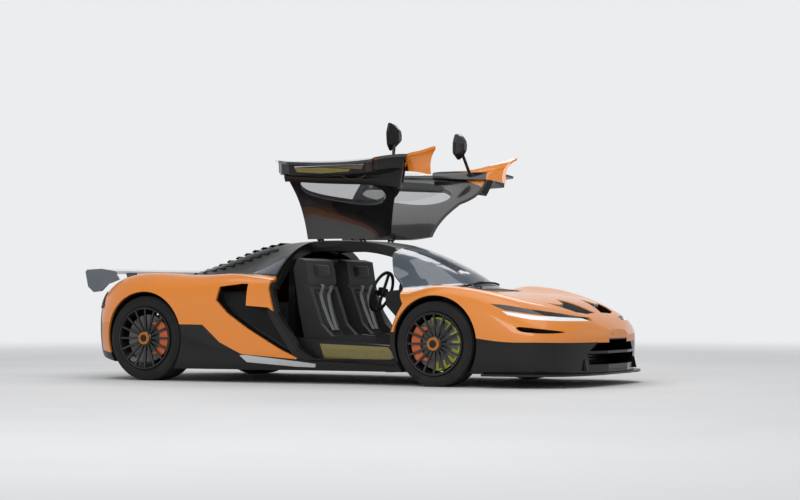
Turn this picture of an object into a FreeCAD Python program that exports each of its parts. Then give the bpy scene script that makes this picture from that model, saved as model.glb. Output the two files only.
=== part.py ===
import FreeCAD, Part
import math
import os
import Sketcher

# Two seat supercar with roof hinged doors, standing open.
# X points forward, Y to the left, Z up, millimetres, origin on the ground below the middle.

SIZES = [
    # overall
    ("wheelbase", 2680.0), ("front_overhang", 1130.0), ("rear_overhang", 825.0),
    ("body_width", 2030.0), ("roof_height", 1161.0), ("floor_height", 106.0),
    # body panels
    ("panel_wall", 22.0), ("glass_wall", 12.0), ("floor_wall", 20.0), ("liner_wall", 8.0),
    ("door_gap", 6.0), ("shut_clearance", 5.0), ("frame_depth", 62.0), ("frame_reach", 55.0), ("frame_lip", 18.0),
    ("duct_depth", 88.0), ("duct_wall", 14.0), ("splitter_wall", 16.0), ("fin_wall", 8.0),
    ("grille_slat", 8.0), ("grille_pitch", 26.0), ("louvre_high", 14.0), ("louvre_pitch", 30.0),
    # wheels and brakes
    ("tyre_front_dia", 660.0), ("tyre_front_wide", 265.0), ("rim_front_dia", 483.0),
    ("tyre_rear_dia", 700.0), ("tyre_rear_wide", 335.0), ("rim_rear_dia", 508.0),
    ("front_track", 1690.0), ("rear_track", 1650.0), ("rim_wall", 9.0), ("spoke_wide", 15.0),
    ("bead_inset", 16.0), ("tread_inset", 24.0), ("spoke_inset", 24.0), ("disc_inset", 72.0),
    ("arch_gap_front", 44.0), ("arch_gap_rear", 36.0), ("arch_inner_front", 540.0), ("arch_inner_rear", 600.0),
    ("axle_dia", 60.0), ("hub_clearance", 0.3), ("hub_dia", 120.0), ("hub_nut_dia", 96.0),
    ("disc_front_dia", 390.0), ("disc_rear_dia", 390.0), ("disc_wall", 34.0), ("disc_hat_dia", 150.0),
    ("caliper_wall", 16.0), ("pin_reach", 150.0), ("pin_dia", 18.0), ("arm_dia", 24.0), ("arm_spread", 190.0),
    # doors
    ("hinge_half_gauge", 250.0), ("hinge_height", 1168.0), ("hinge_pin_dia", 12.0), ("hinge_lug", 12.0),
    ("hinge_front_x", 170.0), ("hinge_rear_x", -230.0), ("door_open_angle", 85.0),
    ("door_depth", 78.0), ("door_rim", 46.0), ("door_lining", 6.0), ("blade_wall", 16.0), ("blade_standoff", 18.0),
    ("stalk_dia", 26.0), ("mirror_x", 640.0), ("mirror_y", 1075.0), ("mirror_z", 900.0),
    # structure, engine and cabin
    ("tub_wall", 24.0), ("axle_box_wide", 660.0), ("gearbox_wide", 380.0), ("gearbox_long", 650.0),
    ("engine_long", 700.0), ("engine_wide", 620.0), ("engine_high", 520.0), ("gearbox_high", 380.0),
    ("seat_wide", 460.0), ("seat_middle", 340.0), ("seat_bolster", 52.0), ("seat_cushion", 60.0),
    ("wheel_dia", 355.0), ("wheel_grip", 28.0), ("column_x", 430.0), ("column_y", -330.0), ("column_z", 720.0),
    ("column_dia", 44.0), ("column_tilt", 20.0),
    # rear wing, exhausts, towing
    ("wing_wide", 1530.0), ("wing_tip_wall", 14.0), ("wing_post", 20.0), ("wing_post_gap", 600.0),
    ("exhaust_dia", 110.0), ("exhaust_wall", 6.0), ("exhaust_long", 60.0), ("exhaust_gap", 140.0),
    ("exhaust_z", 520.0), ("tow_thread_dia", 18.0), ("plate_wide", 520.0), ("plate_high", 112.0),
    ("jack_pad_wide", 80.0), ("jack_pad_high", 8.0),
]

doc = FreeCAD.newDocument("Supercar")
sheet = doc.addObject("Spreadsheet::Sheet", "Sizes")
for row, (alias, value) in enumerate(SIZES, start=1):
    sheet.set("A%d" % row, alias)
    sheet.set("B%d" % row, repr(value))
    sheet.setAlias("B%d" % row, alias)
doc.recompute()


def size(alias):
    return float(sheet.get(alias))


vec = FreeCAD.Vector
ORIGIN = vec(0, 0, 0)
X_AXIS = vec(1, 0, 0)
Y_AXIS = vec(0, 1, 0)
Z_AXIS = vec(0, 0, 1)
BIG = 3000.0

# The tables below are drawn for these overall sizes, and stretch with the sheet's.
DRAWN_WHEELBASE = 2680.0
DRAWN_HALF_WIDTH = 1015.0
DRAWN_HEIGHT = 1161.0
DRAWN_FRONT_AXLE = 1187.5
DRAWN_REAR_AXLE = DRAWN_FRONT_AXLE - DRAWN_WHEELBASE
NOSE = 2317.5
TAIL = -2317.5

total_length = size("front_overhang") + size("wheelbase") + size("rear_overhang")
front_axle_x = total_length / 2 - size("front_overhang")
rear_axle_x = front_axle_x - size("wheelbase")
front_axle_z = size("tyre_front_dia") / 2
rear_axle_z = size("tyre_rear_dia") / 2
front_wheel_y = size("front_track") / 2
rear_wheel_y = size("rear_track") / 2
arch_front_radius = front_axle_z + size("arch_gap_front")
arch_rear_radius = rear_axle_z + size("arch_gap_rear")


def at_x(x):
    """Stretch a drawn station along the car: nose, between the axles, tail."""
    if x >= DRAWN_FRONT_AXLE:
        share = (x - DRAWN_FRONT_AXLE) / (NOSE - DRAWN_FRONT_AXLE)
        return front_axle_x + share * size("front_overhang")
    if x >= DRAWN_REAR_AXLE:
        share = (x - DRAWN_REAR_AXLE) / DRAWN_WHEELBASE
        return rear_axle_x + share * size("wheelbase")
    share = (x - DRAWN_REAR_AXLE) / (TAIL - DRAWN_REAR_AXLE)
    return rear_axle_x - share * size("rear_overhang")


def at_y(y):
    return y * size("body_width") / 2 / DRAWN_HALF_WIDTH


def at_z(z):
    """Stretch a drawn height between the floor and the roof."""
    share = (z - 106.0) / (DRAWN_HEIGHT - 106.0)
    return size("floor_height") + share * (size("roof_height") - size("floor_height"))


def drawn(points):
    return [(at_x(x), at_z(z)) for x, z in points]


# One row per station, half widths (y) and heights (z) from the floor edge up to the centre line:
# x, sill y, sill z, low y, low z, side y, side z, shoulder y, shoulder z, crest y, crest z,
# belt y, belt z, cant y, cant z, brow y, brow z, top z
STATIONS = [
    (2317.5, 190, 112, 198, 190, 205, 372, 195, 405, 150, 432, 100, 436, 70, 438, 35, 439, 440),
    (2240, 520, 110, 535, 190, 545, 372, 525, 425, 430, 485, 330, 500, 240, 507, 120, 511, 512),
    (2150, 735, 108, 750, 190, 768, 372, 730, 440, 610, 510, 470, 545, 350, 556, 180, 562, 565),
    (2000, 880, 106, 900, 190, 915, 375, 865, 480, 720, 572, 560, 608, 400, 628, 200, 640, 645),
    (1780, 935, 106, 955, 190, 962, 365, 925, 555, 775, 668, 600, 680, 420, 690, 210, 700, 702),
    (1500, 955, 106, 975, 190, 985, 400, 945, 670, 815, 748, 610, 728, 430, 728, 215, 732, 734),
    (1240, 955, 106, 975, 190, 985, 450, 962, 702, 830, 782, 600, 742, 330, 742, 190, 745, 748),
    (1100, 950, 106, 970, 190, 985, 450, 962, 705, 835, 778, 585, 744, 310, 800, 200, 842, 868),
    (900, 905, 106, 925, 185, 950, 450, 935, 655, 850, 722, 690, 748, 460, 840, 290, 920, 972),
    (650, 880, 106, 905, 180, 925, 450, 890, 680, 815, 745, 745, 770, 575, 880, 330, 1010, 1075),
    (350, 880, 106, 905, 180, 915, 450, 880, 715, 825, 785, 770, 795, 540, 1035, 250, 1128, 1135),
    (-90, 905, 106, 930, 180, 920, 450, 885, 755, 835, 812, 790, 818, 575, 1070, 250, 1152, 1161),
    (-330, 945, 106, 975, 185, 945, 500, 915, 775, 845, 834, 800, 840, 590, 1035, 250, 1146, 1158),
    (-700, 980, 106, 1003, 185, 980, 590, 940, 800, 815, 888, 690, 880, 460, 935, 240, 1090, 1140),
    (-1050, 985, 106, 1008, 185, 1003, 560, 955, 790, 775, 868, 600, 850, 400, 880, 200, 1015, 1055),
    (-1492.5, 980, 106, 1005, 200, 1015, 560, 970, 780, 775, 900, 600, 862, 400, 868, 160, 890, 900),
    (-1800, 930, 150, 965, 215, 985, 520, 935, 752, 762, 868, 590, 832, 400, 828, 200, 832, 835),
    (-2010, 820, 185, 845, 250, 868, 470, 820, 690, 690, 770, 540, 765, 380, 765, 190, 768, 770),
    (-2130, 660, 215, 690, 270, 712, 460, 672, 620, 570, 690, 450, 705, 320, 710, 160, 712, 714),
    (-2200, 460, 240, 480, 285, 500, 450, 475, 570, 400, 640, 320, 660, 230, 668, 115, 672, 674),
]
SILL, LOW, SIDE, SHOULDER, CREST, BELT, CANT, BROW, TOP = range(9)
LINES = 2 * TOP + 1
DEGREE = 3


def row_points(row):
    """Half outline of one station, from the sill up to the centre line."""
    pairs = [(row[1 + 2 * i], row[2 + 2 * i]) for i in range(TOP)] + [(0.0, row[-1])]
    return [(at_y(y), at_z(z)) for y, z in pairs]


def inset(points, depth):
    """The same outline moved inwards by depth, mitred at each corner."""
    below = (points[0][0] - 1.0, points[0][1])
    beyond = (-points[-2][0], points[-2][1])
    chain = [below] + points + [beyond]
    moved = []
    for before, here, after in zip(chain, chain[1:], chain[2:]):
        normals = []
        for (y0, z0), (y1, z1) in ((before, here), (here, after)):
            run = math.hypot(y1 - y0, z1 - z0)
            normals.append((-(z1 - z0) / run, (y1 - y0) / run))
        sum_y = normals[0][0] + normals[1][0]
        sum_z = normals[0][1] + normals[1][1]
        along = sum_y * normals[0][0] + sum_z * normals[0][1]
        moved.append((here[0] + sum_y * depth / along, here[1] + sum_z * depth / along))
    return moved


def tightened(values):
    """Control values whose smooth curve passes close to the given ones."""
    inner = [b - (a - 2 * b + c) / 6 for a, b, c in zip(values, values[1:], values[2:])]
    return [values[0]] + inner + [values[-1]]


def knots(count):
    spans = count - DEGREE
    return [float(i) for i in range(spans + 1)], [DEGREE + 1] + [1] * (spans - 1) + [DEGREE + 1]


def seat_of(index, count):
    """Where along the knots the control value of that index pulls most."""
    places = [min(max(index + i - DEGREE, 0), count - DEGREE) for i in range(1, DEGREE + 1)]
    return sum(places) / float(DEGREE)


SKINS = {}
STATION_X = tightened(sorted(at_x(row[0]) for row in STATIONS))


def skin(depth):
    """Smooth surface over the whole car, at a depth below the paint."""
    if depth not in SKINS:
        rows = []
        for row in sorted(STATIONS):
            half = inset(row_points(row), depth)
            full = half + [(-y, z) for y, z in half[-2::-1]]
            ys, zs = tightened([y for y, z in full]), tightened([z for y, z in full])
            rows.append(list(zip(ys, zs)))
        columns = []
        for line in range(LINES):
            ys, zs = tightened([row[line][0] for row in rows]), tightened([row[line][1] for row in rows])
            columns.append(list(zip(ys, zs)))
        poles = [[vec(x, *columns[line][i]) for line in range(LINES)] for i, x in enumerate(STATION_X)]
        along, across = knots(len(poles)), knots(LINES)
        surface = Part.BSplineSurface()
        surface.buildFromPolesMultsKnots(poles, along[1], across[1], along[0], across[0], False, False, DEGREE, DEGREE)
        SKINS[depth] = surface
    return SKINS[depth]


def along_at(x):
    """Place along the skin's knots of a drawn station."""
    low, high = 0.0, float(len(STATIONS) - DEGREE)
    surface = skin(0.0)
    for _ in range(50):
        middle = (low + high) / 2
        if surface.value(middle, 0.0).x < at_x(x):
            low = middle
        else:
            high = middle
    return (low + high) / 2


def across_at(line):
    """Place around the skin of a line, which may lie between two named ones."""
    index = min(int(line), LINES - 2)
    low, high = seat_of(index, LINES), seat_of(index + 1, LINES)
    return low + (line - index) * (high - low)


def patch(depth, rear, front, first, last):
    surface = skin(depth).copy()
    surface.segment(along_at(rear), along_at(front), across_at(first), across_at(last))
    return surface


def sealed(faces):
    shell = Part.makeShell(faces)
    shell.sewShape()
    solid = Part.makeSolid(Part.Shell(shell.Faces))
    if solid.Volume < 0:
        solid.reverse()
    return solid


def panel(rear, front, first, last, depth, start=0.0):
    """Curved panel between two stations, two lines and two depths."""
    outer = patch(start, rear, front, first, last)
    inner = patch(start + depth, rear, front, first, last)
    u0, u1, v0, v1 = outer.bounds()
    edges = [(outer.uIso(u), inner.uIso(u)) for u in (u0, u1)]
    edges += [(outer.vIso(v), inner.vIso(v)) for v in (v0, v1)]
    faces = [Part.makeRuledSurface(a.toShape(), b.toShape()) for a, b in edges]
    return sealed([outer.toShape(), inner.toShape()] + faces)


def core(rear, front, depth, first=SILL):
    """Everything inside the skin at a depth, between two stations, closed flat below line first."""
    surface = patch(depth, rear, front, first, LINES - 1 - first)
    u0, u1, v0, v1 = surface.bounds()
    bottom = Part.makeRuledSurface(surface.vIso(v0).toShape(), surface.vIso(v1).toShape())
    ends = []
    for u in (u0, u1):
        arc = surface.uIso(u).toShape()
        line = Part.makeLine(surface.value(u, v1), surface.value(u, v0))
        ends.append(Part.Face(Part.Wire([arc, line])))
    return sealed([surface.toShape(), bottom] + ends)


def mirrored(shape):
    return shape.mirror(ORIGIN, Y_AXIS)


def both(shape):
    return Part.makeCompound([shape, mirrored(shape)])


def joined(shape):
    """Left and right half joined at the centre line."""
    return shape.fuse(mirrored(shape)).removeSplitter()


def closed(points):
    return Part.Face(Part.makePolygon(points + points[:1]))


def prism(points, low, high):
    """Side view outline (x, z) carried across from y low to y high."""
    return closed([vec(x, low, z) for x, z in points]).extrude(vec(0, high - low, 0))


def flow(points, low, high):
    """The same with a smooth outline that the points only pull at."""
    count = len(points)
    curve = Part.BSplineCurve()
    poles = [vec(x, low, z) for x, z in points]
    curve.buildFromPolesMultsKnots(poles, [1] * (count + 1), [float(i) for i in range(count + 1)], True, DEGREE)
    return Part.Face(Part.Wire(curve.toShape())).extrude(vec(0, high - low, 0))


def front_view(points, rear, front):
    """Front view outline (y, z) carried along from x rear to x front."""
    return closed([vec(rear, y, z) for y, z in points]).extrude(vec(front - rear, 0, 0))


def plan_view(points, low, high):
    """Plan outline (x, y) carried up from z low to z high."""
    return closed([vec(x, y, low) for x, y in points]).extrude(vec(0, 0, high - low))


def slab(x0, x1, y0, y1, z0, z1):
    return Part.makeBox(x1 - x0, y1 - y0, z1 - z0, vec(x0, y0, z0))


def rod(start, end, radius):
    run = end.sub(start)
    return Part.makeCylinder(radius, run.Length, start, run)


def grown(points, reach):
    """Outline moved outwards by reach, or inwards when it is negative."""
    wire = Part.makePolygon([vec(x, 0, z) for x, z in points + points[:1]])
    moved = wire.makeOffset2D(reach, 2)
    return [(v.Point.x, v.Point.z) for v in moved.OrderedVertexes]


def feature(label, shape):
    item = doc.addObject("Part::Feature", label)
    item.Label = label
    item.Shape = shape
    return item


# Side view outlines, x and z. The door's starts at the rear of the roof.
DOOR = [
    (-331, 1300), (490, 1300), (490, 1085), (650, 872), (850, 715), (905, 640), (860, 560),
    (790, 400), (790, 300), (845, 150), (60, 185), (-60, 260), (-270, 560), (-331, 760),
]
WINDOW = [(-270, 872), (-262, 1010), (60, 1030), (420, 1010), (640, 830), (400, 818), (-60, 850)]
BLADE = [(1116, 712), (1085, 742), (1000, 790), (700, 830), (330, 830), (330, 770), (700, 735),
         (880, 690), (960, 716), (1060, 716)]
HEADLAMP = [(1640, 640), (1740, 632), (1900, 602), (2080, 566), (2235, 522), (2080, 540), (1760, 590)]
LIGHT_BAR = [(1745, 584), (1990, 545), (2120, 540), (2245, 519), (2240, 506), (2120, 508), (1960, 520), (1790, 555)]
NOSTRIL = [(1850, 470), (1950, 462), (2110, 440), (2200, 424), (2110, 412), (1960, 420), (1890, 430)]
INTAKE = [(-560, 800), (-515, 798), (-515, 622), (-318, 606), (-190, 520), (80, 205), (40, 185),
          (-60, 205), (-208, 275), (-491, 435), (-683, 560), (-790, 665), (-770, 775)]
SKIRT = [(-1300, 470), (-905, 466), (-740, 325), (-540, 232), (-60, 195), (120, 165), (120, 60), (-1300, 60)]
SILL_BLADE = [(-545, 222), (-500, 226), (-60, 180), (118, 160), (108, 132), (-60, 136), (-480, 168)]
QUARTER = [(-350, 875), (-350, 1015), (-430, 985), (-640, 890)]
# Front view outlines, y and z.
GRILLES = [
    [(-445, 276), (445, 276), (330, 346), (230, 362), (-230, 362), (-330, 346)],
    [(-440, 172), (440, 172), (470, 256), (-470, 256)],
]
CORNER_FIN = [(2080, 125), (2275, 125), (2255, 210), (2180, 300), (2110, 300)]
DIFFUSER_FIN = [(-1830, 120), (-2190, 150), (-2190, 235), (-1830, 150)]
# Plan outlines, x and y: left half of the splitter, and the left hood vent.
SPLITTER = [(2317.5, 0), (2317.5, 260), (2290, 520), (2210, 760), (2080, 900), (1900, 965), (1600, 985), (1600, 0)]
VENT = [(2150, 60), (2156, 240), (2120, 370), (2040, 440), (1925, 505), (1985, 400), (1985, 310),
        (1890, 240), (1960, 170), (2080, 110)]

# Side view outlines of the seat, the hollow between its bolsters and the gap beside its neck.
SEAT = [(430, 126), (440, 380), (330, 392), (60, 372), (-40, 470), (-150, 780), (-185, 990), (-260, 1010),
        (-300, 930), (-250, 600), (-150, 126)]
SEAT_SCOOP = [(470, 420), (420, 300), (300, 330), (60, 290), (-60, 340), (-170, 640), (-190, 760), (-60, 780), (60, 640), (300, 480)]
SEAT_NECK = [(-200, 760), (-60, 800), (-60, 840), (-170, 850), (-150, 800)]
# Aerofoil section (x, z), its places across as shares of the half span with the sections' shift
# back and down, the tip plate and the post.
WING = [(-2317.5, 905), (-2300, 925), (-2150, 932), (-2010, 912), (-1985, 897), (-2150, 899), (-2300, 893)]
WING_SECTIONS = [(-1.0, 62, 0), (-0.7, 28, 0), (-0.35, 7, 0), (0.0, 0, 0), (0.35, 7, 0), (0.7, 28, 0), (1.0, 62, 0)]
WING_TIP = [(-2317.5, 905), (-2300, 925), (-2150, 932), (-2010, 912), (-1960, 840), (-2080, 800), (-2150, 740),
            (-2230, 732), (-2290, 780)]
WING_POST = [(-2080, 640), (-1960, 680), (-2060, 905), (-2160, 905)]
# Mirror head: outline of its glass (y, z) about its middle, and its sections' places and shares.
MIRROR_FACE = [(-105, -30), (-60, -62), (40, -66), (112, -30), (100, 34), (30, 62), (-70, 52)]
MIRROR_SECTIONS = [(-34, 0.9), (-26, 1.0), (20, 0.86), (62, 0.42)]

door_outline = drawn(DOOR)
wall = size("panel_wall")
glass = size("glass_wall")
gap = size("door_gap")
hinge_y = size("hinge_half_gauge")
hinge_z = size("hinge_height")

FENDER_REAR = 700.0
COWL = 1240.0
BUMPER_REAR = 1500.0
HOOD_CAP = NOSE - 25.0
SCREEN_TOP = 520.0
ROOF_REAR = -331.0
TAIL_PANEL = -2010.0
TAIL_END = -2200.0
TAIL_PLATE = TAIL_END + 25.0
GRILLE_REAR = 2040.0
VENT_DEPTH = 60.0
LUG_PLAY = 5.0
LUG_RADIUS = 10.0
PLATE_Z = 350.0
DECK_LOUVRES = 6
TAIL_LOUVRES = 5
BLADE_ROOT = 470.0
DIFFUSER_FINS = (130.0, 290.0, 430.0)
JACK_X = (700.0, -950.0)
hinge_places = [size("hinge_front_x"), size("hinge_rear_x")]
nose_split = at_z(372.0)


def arch(axle_x, axle_z, radius, inner_y):
    return Part.makeCylinder(radius, BIG, vec(axle_x, inner_y, axle_z), Y_AXIS)


front_arch = arch(front_axle_x, front_axle_z, arch_front_radius, size("arch_inner_front"))
rear_arch = arch(rear_axle_x, rear_axle_z, arch_rear_radius, size("arch_inner_rear"))
opening = prism(door_outline, hinge_y, BIG)
door_edge = prism(grown(door_outline, -gap), hinge_y + gap, BIG)
headlamp_cut = prism(drawn(HEADLAMP), at_y(300), BIG)
light_cut = prism(drawn(LIGHT_BAR), at_y(300), BIG)
nostril_cut = flow(drawn(NOSTRIL), at_y(300), BIG)
window_cut = flow(drawn(WINDOW), at_y(300), BIG)
intake_cut = prism(drawn(INTAKE), at_y(500), BIG)
quarter_cut = prism(drawn(QUARTER), at_y(300), BIG)
vent_plan = [(at_x(x), at_y(y)) for x, y in VENT]
vent_cut = plan_view(vent_plan, at_z(400), BIG)
grille_outlines = [[(at_y(y), at_z(z)) for y, z in outline] for outline in GRILLES]
skirt_cut = prism(drawn(SKIRT), at_y(500), BIG)
blade_cut = prism(drawn(SILL_BLADE), at_y(500), BIG)


def sides_cut(shape, cutters):
    """Cut a full width shape by left hand cutters and their mirror images."""
    return shape.cut([cutter for left in cutters for cutter in (left, mirrored(left))])


def resized(outline, reach):
    """Outline of any view moved outwards by reach."""
    wire = Part.makePolygon([vec(a, b, 0) for a, b in outline + outline[:1]])
    return [(v.Point.x, v.Point.y) for v in wire.makeOffset2D(reach, 2).OrderedVertexes]


def tow_socket(y, z, low_x, high_x):
    return Part.makeCylinder(size("tow_thread_dia") / 2, high_x - low_x, vec(low_x, y, z), X_AXIS)


def front_clamshell():
    """Hood, both fenders and the nose cap as one piece, with its lamp slits and vents."""
    hood = panel(COWL, NOSE, SIDE, LINES - 1 - SIDE, wall)
    fender = panel(FENDER_REAR, COWL, SIDE, BELT, wall)
    cap = core(HOOD_CAP, NOSE, wall).common(slab(0, BIG, -BIG, BIG, nose_split, BIG))
    shape = hood.fuse([fender, mirrored(fender), cap])
    shape = sides_cut(shape, [front_arch, opening, headlamp_cut, light_cut, nostril_cut, vent_cut])
    tray_sides = plan_view(resized(vent_plan, size("duct_wall")), at_z(400), BIG)
    tray = panel(1820, 2230, BELT - 1, TOP, VENT_DEPTH, wall).common(tray_sides).cut(vent_cut)
    floor = panel(1820, 2230, BELT - 1, TOP, size("duct_wall"), wall + VENT_DEPTH).common(tray_sides)
    tray = tray.fuse(floor)
    return shape.fuse([tray, mirrored(tray)]).cut(tow_socket(-at_y(110), at_z(402), 0, BIG))


def front_bumper():
    """Lower front mask with two grille mouths, their ducts, slats and corner fins."""
    side = panel(BUMPER_REAR, NOSE, SILL, SIDE, wall).cut(front_arch)
    cap = core(HOOD_CAP, NOSE, wall).common(slab(0, BIG, -BIG, BIG, 0, nose_split))
    shape = side.fuse([mirrored(side), cap])
    inside = core(GRILLE_REAR, NOSE, wall).common(slab(0, BIG, -BIG, BIG, 0, nose_split))
    slat = size("grille_slat")
    ducts, slats = [], []
    for outline in grille_outlines:
        mouth = front_view(outline, at_x(GRILLE_REAR) + slat, BIG)
        shape = shape.cut(mouth)
        ducts.append(front_view(resized(outline, slat), 0, BIG).common(inside).cut(mouth))
        low, high = min(z for y, z in outline), max(z for y, z in outline)
        for i in range(1, int((high - low) / size("grille_pitch"))):
            z = low + i * size("grille_pitch")
            bar = slab(at_x(GRILLE_REAR) + slat, at_x(GRILLE_REAR) + 5 * slat, -BIG, BIG, z, z + slat)
            slats.append(bar.common(mouth))
    fin = prism(drawn(CORNER_FIN), at_y(500), at_y(500) + size("fin_wall")).cut(core(1900, NOSE, wall / 2))
    return shape.fuse(ducts + slats + [fin, mirrored(fin)])


def windows():
    """Wrap around windscreen and the two quarter windows."""
    screen = panel(SCREEN_TOP, COWL, BELT, LINES - 1 - BELT, glass)
    screen = sides_cut(screen, [opening])
    quarter = panel(-660, ROOF_REAR, BELT, BROW, glass).common(quarter_cut)
    return Part.makeCompound([screen, quarter, mirrored(quarter)])


def roof_frame():
    """Roof spine and the door aperture's hollow section rings, with the hinge lugs."""
    reach = size("frame_reach")
    top = panel(ROOF_REAR, SCREEN_TOP, BROW, LINES - 1 - BROW, wall)
    spine = panel(ROOF_REAR - reach, SCREEN_TOP + reach, BROW, LINES - 1 - BROW, size("frame_depth"), wall)
    middle = sides_cut(top.fuse(spine), [opening])
    around = prism(grown(door_outline, reach), hinge_y - reach, BIG)
    ring = panel(-420, 980, LOW, BROW, size("frame_depth"), wall).common(around)
    ring = ring.cut(prism(grown(door_outline, -size("frame_lip")), 0, BIG))
    rebate = panel(-440, 1000, LOW, TOP, gap + 1, wall - 1).common(prism(door_outline, 0, BIG))
    half = ring.cut([rebate, front_arch])
    lug, pin = size("hinge_lug"), size("hinge_pin_dia") / 2
    lugs = []
    for x in hinge_places:
        for start in (x - lug - LUG_PLAY - lug / 2, x + lug / 2 + LUG_PLAY):
            lugs.append(slab(start, start + lug, hinge_y - 22, hinge_y, hinge_z - 50, hinge_z))
            lugs.append(Part.makeCylinder(LUG_RADIUS, lug, vec(start, hinge_y, hinge_z), X_AXIS))
    half = half.fuse(lugs)
    for x in hinge_places:
        bore = Part.makeCylinder(pin + size("hub_clearance"), 6 * lug, vec(x - 3 * lug, hinge_y, hinge_z), X_AXIS)
        half = half.cut(bore)
    return middle.fuse([half, mirrored(half)])


def rear_body():
    half = panel(TAIL_PANEL, -60, LOW, BELT, wall)
    return both(half.cut([opening, rear_arch, intake_cut, skirt_cut]))


def side_duct():
    """Walls and back of the side intake."""
    depth, skin_wall = size("duct_depth"), size("duct_wall")
    outer = prism(resized(drawn(INTAKE), skin_wall), at_y(500), BIG)
    sides = panel(-860, 140, LOW, SHOULDER, depth, wall).common(outer).cut(intake_cut)
    back = panel(-860, 140, LOW, SHOULDER, skin_wall, wall + depth).common(outer)
    clear = prism(grown(door_outline, size("frame_reach") + 1.0), 0, BIG)
    return sides.fuse(back).cut(clear)


def side_skirt():
    upper = panel(-1300, 130, LOW, SIDE, wall).common(skirt_cut)
    lower = panel(-1300, 900, SILL, LOW, wall)
    half = upper.fuse(lower).cut([front_arch, rear_arch, opening])
    return max(half.Solids, key=lambda solid: solid.Volume)


def sill_blades():
    """Bright blades that stand off the skirts below the intakes."""
    half = panel(-560, 130, SILL, SIDE, size("blade_wall"), -size("blade_wall")).common(blade_cut)
    return both(half)


def tail_bars():
    """Thin light blades across both sides of the tail panel."""
    outer = at_x(TAIL_PLATE)
    return both(slab(outer - 10, outer, at_y(150), at_y(410), at_z(600), at_z(612)))


def engine_cover():
    """Deck from the roof to the tail with its row of louvres."""
    cover = sides_cut(panel(TAIL_PANEL, ROOF_REAR, BELT, LINES - 1 - BELT, wall), [quarter_cut])
    slots = []
    for i in range(DECK_LOUVRES):
        x = at_x(-1530) - i * size("louvre_pitch") * 2
        slots.append(slab(x - 2 * size("louvre_high"), x, -at_y(330), at_y(330), 0, BIG))
    return cover.cut(slots)


def rear_fascia():
    """Tail shell with its back panel, louvre rows and the number plate's flat seat."""
    ring = panel(TAIL_END, TAIL_PANEL, SILL, LINES - 1, wall)
    lower = panel(TAIL_PANEL, -1800, SILL, LOW, wall).cut(rear_arch)
    plate = core(TAIL_PLATE, TAIL_PLATE + 25.0, wall)
    shape = ring.fuse([lower, mirrored(lower), plate])
    half_wide = size("plate_wide") / 2
    seat = slab(at_x(TAIL_PLATE) - 6, at_x(TAIL_PLATE) + 2, -half_wide, half_wide,
                at_z(PLATE_Z) - size("plate_high") / 2, at_z(PLATE_Z) + size("plate_high") / 2)
    slots = []
    for row in range(TAIL_LOUVRES):
        z = at_z(440) + row * size("louvre_pitch")
        for side in (-1, 1):
            y0, y1 = sorted((side * at_y(150), side * at_y(400)))
            slots.append(slab(-BIG, at_x(TAIL_PLATE) + 60, y0, y1, z, z + size("louvre_high")))
    return shape.fuse(seat).cut(slots + [tow_socket(at_y(340), at_z(330), -BIG, 0)])


def underfloor():
    """Flat floor rising into the diffuser, with splitter, fins, arch liners and jack pads."""
    curves = []
    for depth in (0.0, size("floor_wall")):
        surface = patch(depth, TAIL_END, NOSE, SILL, LINES - 1)
        u0, u1, v0, v1 = surface.bounds()
        curves.append((surface.vIso(v0), surface.vIso(v1)))
    (low_l, low_r), (high_l, high_r) = curves
    sides = [(low_l, low_r), (high_l, high_r), (low_l, high_l), (low_r, high_r)]
    faces = [Part.makeRuledSurface(a.toShape(), b.toShape()) for a, b in sides]
    for u in (u0, u1):
        faces.append(closed([low_l.value(u), low_r.value(u), high_r.value(u), high_l.value(u)]))
    shape = sealed(faces)
    plan = [vec(at_x(x), at_y(y), size("floor_height") - size("splitter_wall")) for x, y in SPLITTER]
    splitter = joined(closed(plan).extrude(vec(0, 0, size("splitter_wall"))))
    pieces = [splitter]
    for y in DIFFUSER_FINS:
        fin = prism(drawn(DIFFUSER_FIN), at_y(y), at_y(y) + size("fin_wall"))
        pieces += [fin, mirrored(fin)]
    for x in JACK_X:
        pad, reach = size("jack_pad_wide") / 2, at_y(720)
        block = slab(at_x(x) - pad, at_x(x) + pad, reach - pad, reach + pad,
                     size("floor_height") - size("jack_pad_high"), size("floor_height"))
        pieces += [block, mirrored(block)]
    shape = sides_cut(shape.fuse(pieces), [front_arch, rear_arch])
    liner = size("liner_wall")
    for cutter, x, z, radius, inner_y, rear, front in (
            (front_arch, front_axle_x, front_axle_z, arch_front_radius, size("arch_inner_front"), 700, 1700),
            (rear_arch, rear_axle_x, rear_axle_z, arch_rear_radius, size("arch_inner_rear"), -1990, -1000)):
        ring = cutter.cut(arch(x, z, radius - liner, inner_y - 1))
        foot = slab(at_x(rear), at_x(front), 0, at_y(870), size("floor_height"), size("floor_height") + 2 * wall)
        ring = ring.common(core(rear, front, wall).fuse(foot))
        shape = shape.fuse([ring, mirrored(ring)])
    return max(shape.Solids, key=lambda solid: solid.Volume)


floor_top = size("floor_height") + size("floor_wall")
tub_rear = at_x(-400)
tub_front = at_x(790)
box_front = at_x(1640)
box_half = size("axle_box_wide") / 2
gear_half = size("gearbox_wide") / 2
tub_half = at_y(790)


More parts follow.
